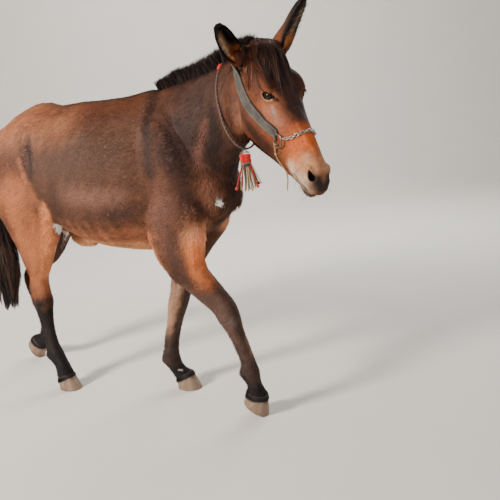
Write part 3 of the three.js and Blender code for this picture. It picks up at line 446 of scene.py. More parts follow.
# places and radii of bulges, and turns about x, y and z in degrees; a side of 0 is on the middle line
bodyBulges = [
    [(468, 90, 1090), (132, 74, 236), (6, -26, 0)], [(628, 56, 944), (74, 54, 92), (0, -10, 0)],
    [(-392, 104, 1085), (218, 94, 226), (4, 12, 0)], [(-170, 0, 752), (92, 40, 44), (0, 14, 0)],
]
headBulges = [
    [(142, 44, -168), (104, 34, 100), (0, 0, 0)], [(172, 58, -10), (60, 26, 22), (0, 4, 6)],
    [(272, 57, -90), (88, 15, 16), (0, 8, -10)], [(518, 27, -86), (30, 15, 20), (0, 24, -14)],
    [(551, 0, -120), (25, 33, 32), (0, 0, 0)], [(514, 0, -165), (38, 28, 20), (0, 8, 0)],
    [(360, 0, -34), (130, 25, 18), (0, 8, 0)],
]
hooves = {
    "front_right": {"place": (772, -78, -3), "yaw": -4, "pitch": 33},
    "front_left": {"place": (340, 56, 0), "yaw": -3, "pitch": 0},
    "hind_right": {"place": (-266, -122, 0), "yaw": -4, "pitch": 0},
    "hind_left": {"place": (-822, 146, -3), "yaw": -6, "pitch": 62},
}
hoofSize = {"length": 120, "width": 94, "toe": 76, "heel": 44, "lean": 50}
ears = {
    "right": {"root": (22, -76, -40), "way": (0.1, -0.68, 0.72), "open": (0.82, 0.1, 0.5)},
    "left": {"root": (40, 68, -12), "way": (-0.26, 0.2, 0.945), "open": (0.87, 0.48, 0.14)},
}
skinSettings = {"voxel": 0.0032, "triangles": 196000,
                "evenings": 26, "cuts": 2}


def section(top, bottom, across, half, sides, powerTop=2.2, powerBottom=2.2, pinch=1.0):
    # rings round the middles of top and bottom: up by a power of the sine and across by one of the
    # cosine, the lower half narrowed by pinch
    angle = 2 * np.pi * (np.arange(sides) + 0.5) / sides
    c, s = np.cos(angle)[None, :], np.sin(angle)[None, :]
    column = lambda value: np.broadcast_to(np.asarray(value, float), (len(top),))[:, None]
    power = np.where(s > 0, column(powerTop), column(powerBottom))
    narrow = np.where(s > 0, 1, 1 + (column(pinch) - 1) * np.abs(s) ** 1.3)
    middle, up = (top + bottom) / 2, (top - bottom) / 2
    wide = column(half) * narrow * signed(c, 2 / power)
    across = np.broadcast_to(across, top.shape)
    return (middle[:, None] + up[:, None] * signed(s, 2 / power)[..., None]
            + across[:, None] * wide[..., None])


def profileLoft(rows, rings, sides=64):
    table = between(rows, np.linspace(0, 1, rings))
    top, bottom = (np.stack([table[:, k], table[:, 4], table[:, k + 1]], -1) for k in (0, 2))
    powers = table[:, 6:8].T if table.shape[1] > 6 else (2.2, 2.2)
    return section(top, bottom, (0, 1, 0), table[:, 5], sides, *powers)


def neckLoft(rings=80, sides=64):
    # the sections turn with the neck: across is the up line crossed with the way along
    table = between(neckRows, np.linspace(0, 1, rings))
    crest, under = table[:, :3], table[:, 3:6]
    along = np.gradient(crest + under, axis=0)
    across = unit(np.cross(crest - under, along))
    return section(crest, under, across, table[:, 6], sides, 1.75, 2)


def skullLoft(rings=90, sides=64):
    table = between(headRows, np.linspace(0, 1, rings))
    zero = np.zeros(rings)
    top, bottom = (np.stack([table[:, 0], zero, table[:, k]], -1) for k in (1, 2))
    return section(top, bottom, (0, 1, 0), table[:, 3], sides, 2.5, 2.2, table[:, 4])


def bulgeGrid(at, radii, turn, rings=40, sides=48):
    # a sphere drawn out to three radii, turned and placed
    down, turns = np.linspace(0.02, np.pi - 0.02, rings)[:, None], 2 * np.pi * np.arange(sides) / sides
    ball = np.stack([np.sin(down) * np.cos(turns), np.sin(down) * np.sin(turns), np.cos(down) + 0 * turns],
                    -1)
    return (ball * radii) @ turned(*turn).T + np.array(at, float)


def bothSides(bulges):
    for at, radii, turn in bulges:
        for side in ((1,) if at[1] == 0 else (-1, 1)):
            yield (at[0], side * at[1], at[2]), radii, (side * turn[0], turn[1], side * turn[2])


def hoofFrame(hoof):
    # the hoof's own frame, x to the toe and z to the coronet, as a turn and a shift
    yaw, pitch = turned(0, 0, hoof["yaw"]), turned(0, hoof["pitch"], 0)
    turn = yaw @ pitch
    return turn, np.array(hoof["place"], float) - turn @ np.array([0.54 * hoofSize["length"], 0, 0])


def legLoft(name):
    # the leg's rows, then the coronet and a little way into the hoof
    turn, start = hoofFrame(hooves[name])
    front, back = (turn @ np.array(p, float) + start
                   for p in ((29, 0, hoofSize["toe"]), (-66, 0, hoofSize["heel"])))
    down = turn @ unit((0.25, 0, -1)) * 12
    half = 39 if "front" in name else 37
    y = (front[1] + back[1]) / 2
    ends = [[front[0], front[2], back[0], back[2], y, half],
            [front[0] + down[0], front[2] + down[2], back[0] + down[0], back[2] + down[2], y, half - 2]]
    return profileLoft(legRows[name] + ends, 110)


def earAxes(ear):
    along = unit(ear["way"])
    front = squareTo(along, ear["open"])
    return np.array(ear["root"], float), along, front, unit(np.cross(along, front))


def earRoot(ear):
    base, along, front, across = earAxes(ear)
    ball = bulgeGrid((0, 0, 0), (46, 34, 24), (0, 0, 0))
    return fromHead(base - 14 * along - 9 * front + ball @ np.stack([along, across, front]))


def remeshed(shapes, voxel):
    # the outer skin of many closed shapes
    rough = bpy.data.objects.new("rough", meshOf("rough", *several(shapes)))
    bpy.context.scene.collection.objects.link(rough)
    cover = rough.modifiers.new("cover", "REMESH")
    cover.mode = "VOXEL"
    cover.voxel_size = voxel
    return applied(rough)


def applied(piece):
    # the mesh that a piece's modifiers make; the piece itself is dropped
    graph = bpy.context.evaluated_depsgraph_get()
    mesh = bpy.data.meshes.new_from_object(piece.evaluated_get(graph))
    bpy.data.objects.remove(piece)
    return mesh


def evened(points, edges, weight, turns):
    # each turn moves a point towards the mean of its neighbours, then a little less far back
    near = np.maximum(np.bincount(edges.ravel(), minlength=len(points)), 1)[:, None]
    for turn in range(2 * turns):
        mean = np.stack([np.bincount(edges[:, 0], points[edges[:, 1], k], len(points))
                         + np.bincount(edges[:, 1], points[edges[:, 0], k], len(points)) for k in range(3)],
                         -1)
        step = 0.55 if turn % 2 == 0 else -0.45
        points = points + (mean / near - points) * (weight * step)[:, None]
    return points


shapes = [closedGrid(grid)
          for grid in (profileLoft(trunkRows, 140, 90), neckLoft(), profileLoft(dockRows, 60, 40))]
shapes += [closedGrid(bulgeGrid(*bulge)) for bulge in bothSides(bodyBulges)]
shapes += [closedGrid(fromHead(bulgeGrid(*bulge))) for bulge in bothSides(headBulges)]
shapes += [closedGrid(fromHead(skullLoft()))] + [closedGrid(legLoft(name)) for name in legRows]
shapes += [closedGrid(earRoot(ear)) for ear in ears.values()]
skinMesh = remeshed(shapes, skinSettings["voxel"])
print("skin remeshed:", len(skinMesh.vertices), "points")


def meshEdges(mesh):
    flat = np.empty(2 * len(mesh.edges), np.int32)
    mesh.edges.foreach_get("vertices", flat)
    return flat.reshape(-1, 2)


def setPoints(mesh, points):
    mesh.vertices.foreach_set("co", placed(points).astype(np.float32).ravel())
    mesh.update()


def headShare(onHead):
    # 1 on the head and 0 on the body
    within = (np.abs(onHead[:, 1]) < 160) * (onHead[:, 2] < 130) * (onHead[:, 2] > -330)
    return smooth(-90, 10, onHead[:, 0]) * within


skinPoints = meshPoints(skinMesh)
skinEdges = meshEdges(skinMesh)
nearHead = headShare(toHead(skinPoints))
skinPoints = evened(skinPoints, skinEdges, 1 - 0.75 * nearHead, skinSettings["evenings"])
skinPoints = evened(skinPoints, skinEdges, 0 * nearHead + 1, 2)


# Carving: folds, bones and muscles as heights along the skin's normals


def pathDistance(points, path):
    # the distance from each point to a path of straight stretches
    path = np.asarray(path, float)
    best = np.full(len(points), 1e9)
    for a, b in zip(path[:-1], path[1:]):
        along = b - a
        t = np.clip((points - a) @ along / max(along @ along, 1e-9), 0, 1)
        best = np.minimum(best, np.linalg.norm(points - a - t[:, None] * along, axis=1))
    return best


def carve(points, marks):
    # a bell of the given height over each path: height times exp(-(distance / width) squared)
    total = np.zeros(len(points))
    for height, width, *path in marks:
        path = path * 2 if len(path) == 1 else path
        corner = np.array(path, float)
        near = np.all((points > corner.min(0) - 3 * width) & (points < corner.max(0) + 3 * width), axis=1)
        total[near] += height * np.exp(-(pathDistance(points[near], path) / width) ** 2)
    return total


# [height, width, points...] in the measuring frame, on the right side and mirrored to the left
bodyMarks = [
    [-6, 20, (505, -100, 1320), (585, -125, 1130), (635, -118, 1010)],
    [4, 22, (430, -110, 1300), (520, -160, 1090)],
    [-7, 24, (372, -130, 1220), (388, -172, 1020), (352, -180, 850)],
    [5, 28, (640, -110, 965)], [6, 30, (382, -172, 790)],
    [-7, 16, (330, -150, 770), (425, -150, 720)],
    [-10, 22, (-232, -160, 1270), (-224, -192, 1190), (-212, -198, 1115)],
    [9, 30, (-270, -150, 1300)], [5, 24, (-192, -178, 1080), (-150, -178, 960), (-160, -160, 870)],
    [-5, 18, (-235, -200, 1100), (-205, -190, 960), (-215, -180, 880)],
    [-4, 24, (-345, -205, 1180), (-318, -210, 980), (-345, -190, 800)],
    [-4, 20, (-560, -120, 1180), (-530, -150, 980), (-480, -140, 830)],
    [-8, 14, (706, 0, 1000), (668, 0, 860), (600, 0, 800)],
    [-4, 12, (680, -105, 1075), (760, -140, 1150), (838, -178, 1270)],
    [-6, 13, (842, -168, 1385), (836, -188, 1300), (850, -178, 1215), (862, -140, 1160)],
    [4, 26, (650, -118, 1200), (760, -150, 1290), (815, -165, 1360)],
    [-4, 22, (560, -90, 1370), (700, -125, 1385), (790, -150, 1410)],
    [-4, 12, (652, -60, 830), (610, -95, 800), (570, -120, 805)],
    [4, 20, (-450, -30, 1345), (-200, -20, 1392), (100, -8, 1362), (300, -8, 1372)],
] + [[1.6, 13, (x, -150, 1200), (x - 30, -210, 1000), (x - 8, -190, 860)] for x in range(-70, 300, 46)]

# the same for the head, in its frame
headMarks = [
    [4, 9, (222, -74, -72), (290, -66, -92), (348, -57, -100)],
    [3.5, 10, (186, -84, -62), (222, -80, -70)],
    [-3, 17, (150, -64, 16), (128, -66, 6)],
    [-3.5, 14, (290, -48, -52), (360, -43, -66), (430, -38, -74)],
    [2, 9, (250, -34, 4), (340, -28, -14), (430, -20, -34)],
    [-3, 12, (300, -64, -125), (250, -78, -128), (190, -92, -118)],
    [1.6, 3.6, (345, -55, -122), (300, -62, -132), (262, -72, -160), (250, -62, -215)],
    [1.3, 3.2, (330, -57, -92), (372, -48, -92), (410, -44, -100)],
    [-5, 12, (430, -42, -178), (400, -44, -196), (368, -44, -204)],
    [-3, 11, (60, -84, -60), (96, -88, -70), (140, -88, -66)],
    [2.4, 9, (505, -40, -106), (548, -30, -106), (560, -16, -100)],
    [-2, 5, (486, -42, -118), (500, -42, -98), (505, -38, -78)],
    [-1.6, 4, (474, -41, -130), (462, -42, -112), (462, -40, -94)],
    [-1.4, 3, (466, -38, -152), (455, -41, -140), (452, -42, -126)],
    [-5, 7, (560, 0, -78), (572, 0, -110)],
]


def sideways(points):
    # the left side folded on to the right
    return points * (1, 0, 1) - np.abs(points) * (0, 1, 0)


def legMarks(name):
    # tendon grooves on both sides of the cannon, the hollow above the hock, and the knobs of the joints
    rows = np.array(legRows[name], float)
    front = "front" in name
    cannon = np.arange(7, 10) if front else np.arange(9, 12)
    marks = []

    def line(first, share, side, rise=0.96):
        return [tuple((row[0] + share * (row[2] - row[0]), row[4] + side * rise * row[5],
                       row[1] + share * (row[3] - row[1]))) for row in rows[first]]

    for side in (-1, 1):
        marks.append([-3.4, 6.5, *line(cannon, 0.56, side)])
        joint = rows[6] if front else rows[8]
        centre = [(joint[0] + joint[2]) / 2, joint[4] + side * joint[5], (joint[1] + joint[3]) / 2]
        marks.append([3, 15, tuple(centre)])
        ankle = rows[10] if front else rows[12]
        for share, height in ((0.3, 2.5), (0.8, 3.5)):
            marks.append([height, 12,
                          (ankle[0] + share * (ankle[2] - ankle[0]), ankle[4] + side * 0.8 * ankle[5],
                           ankle[1] + share * (ankle[3] - ankle[1]))])
        if not front:
            marks.append([-7, 11, *line(np.arange(5, 7), 0.72, side, 0.9)])
            marks.append([3, 10, *line(np.arange(7, 9), 0.82, side)])
        else:
            marks.append([-3, 12, *line(np.arange(3, 6), 0.52, side)])
            marks.append([-2.5, 7, *line(np.arange(6, 7), 0.75, side), *line(np.arange(6, 7), 0.2, side)])
    pastern = rows[-1]
    marks.append([-4, 11, (pastern[2], pastern[4], pastern[3])])
    return marks


def finer(mesh, chosen, cuts):
    # cuts the edges among chosen points into shorter ones
    work = bmesh.new()
    work.from_mesh(mesh)
    edges = [edge for edge in work.edges if chosen[edge.verts[0].index] and chosen[edge.verts[1].index]]
    bmesh.ops.subdivide_edges(work, edges=edges, cuts=cuts, use_grid_fill=True)
    bmesh.ops.triangulate(work, faces=[face for face in work.faces if len(face.verts) > 4])
    work.to_mesh(mesh)
    work.free()


eye = {"at": pose["rightEye"], "radius": 19, "axis": (0.3, -0.93, 0.2), "long": (0.81, 0.36, 0.46),
       "rear": -20, "fore": 19.5, "above": 10, "below": 7.6, "rim": -3.2}
nostril = {"at": (533, -36, -85), "axis": (0.4, -0.72, 0.42), "long": (0.93, 0.2, -0.12),
           "half": (19, 10.5),
           "depth": 18}
mouthLine = [(462, -40, -150), (486, -39, -148), (512, -37, -145), (535, -31, -141), (553, -21, -137),
             (564, -8, -134), (567, 0, -133)]


def around(spot, points):
    # a flat frame on the head's right side: along its length, up across it, and outwards
    out = unit(spot["axis"])
    long = squareTo(out, spot["long"])
    offset = points - np.array(spot["at"], float)
    return offset @ long, offset @ np.cross(out, long), offset @ out


def eyeOpening(u, v):
    # how far a place lies inside the almond between the lids; the corners dip towards the nose
    t = np.clip((u - eye["rear"]) / (eye["fore"] - eye["rear"]), 0, 1)
    hump = np.sin(np.pi * t ** 0.9) ** 0.8
    inside = np.minimum(eye["above"] * hump - v, v + eye["below"] * hump * (1.15 - 0.3 * t))
    beyond = np.maximum(eye["rear"] - u, u - eye["fore"])
    return np.where(beyond > 0, -np.hypot(beyond, np.minimum(inside, 0)), inside)


def nostrilOpening(u, v):
    # how far a place lies inside a comma: an ellipse whose middle bends across as it runs to the rear
    bent = v - 0.018 * (u - 4) ** 2 + 2
    long, wide = nostril["half"]
    share = np.sqrt((u / long) ** 2 + (bent / (wide * (1.1 + 0.25 * np.clip(u / long, -1, 1)))) ** 2)
    return (1 - share) * wide


def carvedHead(onHead):
    # lids, nostrils and mouth, as moves of points in the head's frame
    folded = sideways(onHead)
    moved = folded.copy()

    u, v, w = around(eye, folded)
    near = (np.hypot(u, v) < 46) & (w > -14) & (w < 60)
    u, v, w = u[near], v[near], w[near]
    dome = 20.6 - 0.019 * u ** 2 - 0.026 * v ** 2
    lid = w + 5 * np.logaddexp(0, (dome - w) / 5) * fall(30, 44, np.hypot(u, v))
    inside = eyeOpening(u, v)
    lid += 1.2 * np.exp(-((inside + 1) / 1.8) ** 2)
    upper = smooth(-4, 2, v) * fall(20, 30, np.abs(u))
    lid -= upper * (2.2 * np.exp(-((inside + 6.5) / 1.7) ** 2)
                    + 1.2 * np.exp(-((inside + 11.5) / 2.2) ** 2))
    lid -= (1 - upper) * 1.3 * np.exp(-((inside + 6) / 1.8) ** 2) * fall(18, 30, np.abs(u))
    ball = np.sqrt(np.maximum(eye["radius"] ** 2 - u ** 2 - v ** 2, 0)) - 4
    lid = lid + smooth(-0.2, 1.5, inside) * (np.minimum(ball, lid) - lid)
    moved[near] += unit(eye["axis"]) * (lid - w)[:, None]

    u, v, w = around(nostril, moved)
    near = (np.hypot(u, v) < 34) & (w > -22) & (w < 24)
    u, v, w = u[near], v[near], w[near]
    inside = nostrilOpening(u, v)
    rim = 2.6 * np.exp(-((inside + 2.2) / 3) ** 2) * (0.7 + 0.5 * smooth(-8, 8, v))
    pit = nostril["depth"] * smooth(-0.4, 5.5, inside)
    moved[near] += unit(nostril["axis"]) * (rim - pit)[:, None]

    gap = pathDistance(moved, mouthLine)
    depth = 6 * np.exp(-(gap / 2.3) ** 2) - 1.6 * np.exp(-((gap - 6) / 3.2) ** 2)
    inward = unit(moved - np.array((500, 0, -138)))
    moved -= inward * (depth * (gap < 18) * smooth(455, 470, moved[:, 0]))[:, None]
    return np.where(onHead[:, 1:2] > 0, moved * (1, -1, 1), moved)


def detailAround(onHead, reach):
    # the places on the head that need short edges
    folded = sideways(onHead)
    u, v, w = around(eye, folded)
    chosen = (eyeOpening(u, v) > -14 * reach) & (w > -14) & (w < 50)
    u, v, w = around(nostril, folded)
    chosen |= (nostrilOpening(u, v) > -7 * reach) & (w > -20) & (w < 20)
    return chosen | (pathDistance(folded, mouthLine) < 10 * reach)


folded = sideways(skinPoints)
heights = carve(folded, bodyMarks) * (1 - nearHead)
heights += carve(sideways(toHead(skinPoints)), headMarks) * nearHead
for name in legRows:
    heights += carve(skinPoints, legMarks(name))
skinTriangles = meshCorners(skinMesh)
skinPoints += vertexNormals(skinPoints, skinTriangles) * heights[:, None]
skinPoints = evened(skinPoints, skinEdges, np.ones(len(skinPoints)), 1)
setPoints(skinMesh, skinPoints)
finer(skinMesh, detailAround(toHead(skinPoints), 1), skinSettings["cuts"])
skinPoints, skinEdges = meshPoints(skinMesh), meshEdges(skinMesh)
detail = detailAround(toHead(skinPoints), 0.9)
skinPoints = evened(skinPoints, skinEdges, detail.astype(float), 6)
onHead = toHead(skinPoints)
nearHead = headShare(onHead)
skinPoints[nearHead > 0.5] = fromHead(carvedHead(onHead[nearHead > 0.5]))

# the skin lies under the coat's surface by the coat's depth
coatDepth = {"body": 4.0, "leg": 2.5, "head": 1.6}


def depthOfCoat(points):
    onHead = toHead(points)
    nearHead = (smooth(-60, 40, onHead[:, 0]) * (np.abs(onHead[:, 1]) < 160)
                * (np.abs(onHead[:, 2] + 100) < 230))
    leg = fall(560, 720, points[:, 2])
    depth = coatDepth["body"] + (coatDepth["leg"] - coatDepth["body"]) * leg
    return depth + (coatDepth["head"] - depth) * nearHead


skinTriangles = meshCorners(skinMesh)
skinPoints -= vertexNormals(skinPoints, skinTriangles) * depthOfCoat(skinPoints)[:, None]
setPoints(skinMesh, skinPoints)
print("skin carved")


def thinned(mesh, keep, triangles):
    # fewer triangles, where keep is small first
    piece = bpy.data.objects.new("thinned", mesh)
    bpy.context.scene.collection.objects.link(piece)
    group = piece.vertex_groups.new(name="keep")
    for level in range(11):
        chosen = np.flatnonzero(np.round(keep * 10).astype(int) == level)
        if len(chosen):
            group.add(chosen.tolist(), 1 - level / 10, "REPLACE")
    mesh.calc_loop_triangles()
    less = piece.modifiers.new("less", "DECIMATE")
    less.vertex_group = "keep"
    less.vertex_group_factor = 4
    less.ratio = min(1, triangles / len(mesh.loop_triangles))
    return applied(piece)


keep = np.clip(0.35 * nearHead + 0.65 * detailAround(onHead, 1) + 0.15 * (skinPoints[:, 2] < 560), 0, 1)
skinMesh = thinned(skinMesh, keep, skinSettings["triangles"])
skinMesh.polygons.foreach_set("use_smooth", np.ones(len(skinMesh.polygons), bool))
skinPoints, skinTriangles = meshPoints(skinMesh), meshCorners(skinMesh)
skinNormals = vertexNormals(skinPoints, skinTriangles)
skinTree = BVHTree.FromPolygons(skinPoints.tolist(), skinTriangles.tolist())
print("skin thinned to", len(skinTriangles), "triangles")


# Markings: one colour for each place, the same for skin and coat, with painted shade, sheen and highlights
# among them

# (colour, strength, softness, reach, points...): a reach of three is a ball's radii at one point,
# and a single reach is the distance from a path
bodyTints = [
    # painted sheen: a greyish-brown sheen over the middle of the trunk's side
    ((96, 72, 60), 0.6, 0.6, (360, 90, 190), (60, -210, 1070)),
    ((178, 122, 90), 0.85, 0.7, 100, (-600, -60, 1200), (-430, -110, 1320), (-250, -70, 1375)),
    ((112, 68, 46), 0.6, 0.7, 60, (-150, -60, 1365), (330, -60, 1355)),
    ((104, 66, 48), 0.6, 0.6, (130, 90, 170), (-420, -190, 1130)),
    ((104, 66, 48), 0.6, 0.6, (50, 60, 120), (490, -120, 1240)),
    ((78, 58, 52), 0.8, 0.6, (150, 110, 90), (680, -110, 1370)),
    ((56, 37, 31), 0.88, 0.6, (170, 110, 130), (640, -110, 1190)),
    ((124, 86, 72), 0.65, 0.8, 20, (708, -140, 1240), (672, -121, 1187), (634, -110, 1131),
     (616, -120, 1074)),
    ((52, 36, 31), 0.8, 0.7, (62, 70, 125), (545, -140, 1115)),
    ((46, 31, 27), 0.85, 0.8, 34, (760, -140, 1260), (744, -138, 1184), (704, -112, 1138),
     (690, -95, 1070)),
    ((96, 64, 50), 0.6, 0.8, 24, (752, -100, 1090), (728, -70, 1010), (690, -80, 950)),
    # painted shade: darker down the front of the lower neck and chest
    ((58, 39, 32), 0.85, 0.8, 50, (820, -100, 1130), (738, -15, 1052), (704, 0, 980), (700, 0, 930)),
    ((72, 48, 40), 0.85, 0.6, (46, 50, 46), (583, -140, 942)),
    ((132, 90, 70), 0.75, 0.6, (42, 50, 60), (652, -100, 975)),
    ((122, 84, 68), 0.6, 0.6, (70, 80, 150), (470, -185, 900)),
    ((240, 176, 136), 0.92, 0.6, (60, 80, 60), (606, -140, 790)),
    ((226, 140, 88), 0.88, 0.7, 44, (584, -170, 740), (580, -150, 670), (610, -140, 610)),
    ((84, 56, 44), 0.75, 0.6, 34, (505, -200, 800), (505, -194, 700), (530, -184, 610)),
    ((186, 122, 84), 0.8, 0.7, 17, (352, -185, 960), (372, -190, 800), (386, -176, 700), (436, -160, 600)),
    ((80, 57, 50), 0.78, 0.7, (104, 70, 44), (235, -200, 902)),
    # painted sheen: two greyish patches low on the trunk's side
    ((134, 100, 86), 0.6, 0.9, (90, 60, 50), (40, -205, 978)),
    ((150, 114, 100), 0.6, 0.9, (110, 60, 40), (190, -207, 968)),
    ((180, 126, 96), 0.6, 1.0, 80, (-440, -120, 1272), (-200, -146, 1284), (-40, -140, 1288)),
    ((76, 54, 46), 0.6, 0.7, (70, 60, 60), (-120, -190, 960)),
    # painted shade in the carved hollow of the flank before the hip
    ((44, 31, 28), 0.9, 0.6, (30, 60, 88), (-224, -190, 1152)),
    ((176, 120, 92), 0.7, 0.8, 14, (-268, -200, 1150), (-256, -205, 1060), (-228, -204, 980)),
    ((174, 114, 78), 0.9, 0.6, 100, (-350, -200, 990), (-310, -190, 850), (-330, -150, 700),
     (-390, -120, 560)),
    ((220, 150, 104), 0.85, 0.8, 26, (-190, -178, 930), (-215, -165, 800), (-290, -140, 690),
     (-330, -130, 600)),
    ((126, 78, 52), 0.7, 0.7, 60, (-600, -80, 1080), (-590, -110, 940), (-520, -120, 780)),
    ((36, 27, 24), 0.9, 0.5, 22, (-640, 0, 1235), (-460, 0, 1335), (-255, 0, 1395), (0, 0, 1378),
     (262, 0, 1374), (420, 0, 1395)),
    ((46, 31, 26), 0.75, 0.8, 26, (402, -10, 1390), (414, -95, 1300), (418, -150, 1180), (424, -172, 1060)),
    ((38, 30, 28), 0.9, 0.6, 34, (440, 0, 1400), (600, -26, 1412), (790, -86, 1450), (905, -128, 1478)),
    ((34, 27, 25), 0.9, 0.6, 46, (-650, 0, 1190), (-720, 0, 1060), (-740, 0, 780)),
]
headTints = [
    ((102, 72, 62), 0.85, 0.6, (100, 60, 90), (130, -88, -180)),
    # painted light: a lit band on the cheek by the throat
    ((150, 106, 84), 0.7, 0.6, (40, 60, 80), (116, -70, -236)),
    # painted shade over the back of the lower jaw
    ((66, 43, 35), 0.9, 0.6, (95, 50, 52), (268, -60, -186)),
    ((174, 116, 88), 0.85, 0.8, 32, (236, -66, -76), (300, -58, -76), (352, -50, -70)),
    ((140, 84, 58), 0.7, 0.7, 30, (170, -76, -110), (250, -64, -134), (320, -54, -120)),
    ((92, 57, 42), 0.85, 0.6, (90, 60, 45), (110, -78, -30)),
    ((74, 48, 40), 0.94, 0.5, (176, 74, 60), (112, 0, 24)),
    ((52, 34, 29), 0.94, 0.6, 44, (210, 0, 4), (290, 2, -12), (350, 8, -24)),
    # painted sheen: a thin light streak down the forehead
    ((86, 62, 54), 0.6, 0.9, 7, (150, -6, 22), (230, -8, 4), (300, -12, -10)),
    ((150, 82, 50), 0.75, 0.7, 36, (364, -34, -66), (380, 14, -40)),
    ((208, 116, 60), 0.92, 0.6, 62, (424, 0, -60), (462, 0, -90)),
    ((226, 158, 110), 0.7, 0.9, 34, (450, -46, -122), (486, -42, -106)),
    ((206, 162, 128), 0.8, 0.9, 32, (488, -32, -70), (522, -26, -62)),
    ((222, 198, 176), 0.92, 0.9, 27, (450, -44, -144), (488, -42, -134), (524, -38, -126)),
    ((132, 112, 100), 0.85, 0.6, 30, (446, 0, -200), (504, 0, -184)),
    ((80, 65, 58), 0.88, 0.7, 19, (536, -22, -158), (560, 0, -150), (540, 0, -172)),
    ((176, 146, 122), 0.8, 0.8, 15, (534, -36, -126), (556, -28, -126)),
    # painted shade on the front of the muzzle, before the nostril and along its front edge
    ((60, 47, 42), 0.88, 0.8, (24, 27, 27), (557, -16, -98)),
    ((52, 41, 38), 0.85, 0.8, 13, (552, -24, -84), (566, -10, -100), (572, 0, -112)),
    ((168, 126, 94), 0.55, 0.9, 11, (548, 6, -70), (562, 4, -82)),
    ((168, 152, 146), 0.55, 0.8, 7, (258, -60, -46), (276, -58, -52)),
    ((150, 130, 122), 0.4, 0.9, 9, (276, -58, -56), (306, -56, -66)),
    ((72, 49, 39), 0.9, 0.6, 44, (150, 0, -285), (300, 0, -250), (380, 0, -220)),
    ((70, 52, 46), 0.85, 0.5, 50, (-30, -60, -110), (30, -96, -200), (90, -60, -300)),
]


whiteSpot = np.array((677, -88, 917.0))
depthOfColour = {"purity": 0.13, "pivot": 0.42, "contrast": 1.08}


def blended(colour, tints, points):
    ragged = 0.16 * ripple(points, 42, 3) + 0.07 * ripple(points, 13, 8)
    for shown, strength, soft, reach, *path in tints:
        if isinstance(reach, tuple):
            share = distance(points, path[0], reach)
        else:
            share = pathDistance(points, path) / reach
        share = strength * fall(1 - soft, 1 + soft, share + ragged)
        colour = colour + share[:, None] * (np.array(tint(*shown)) - colour)
    return colour


def mixed(colour, shown, share):
    return colour + np.clip(share, 0, 1)[:, None] * (np.array(tint(*shown)) - colour)


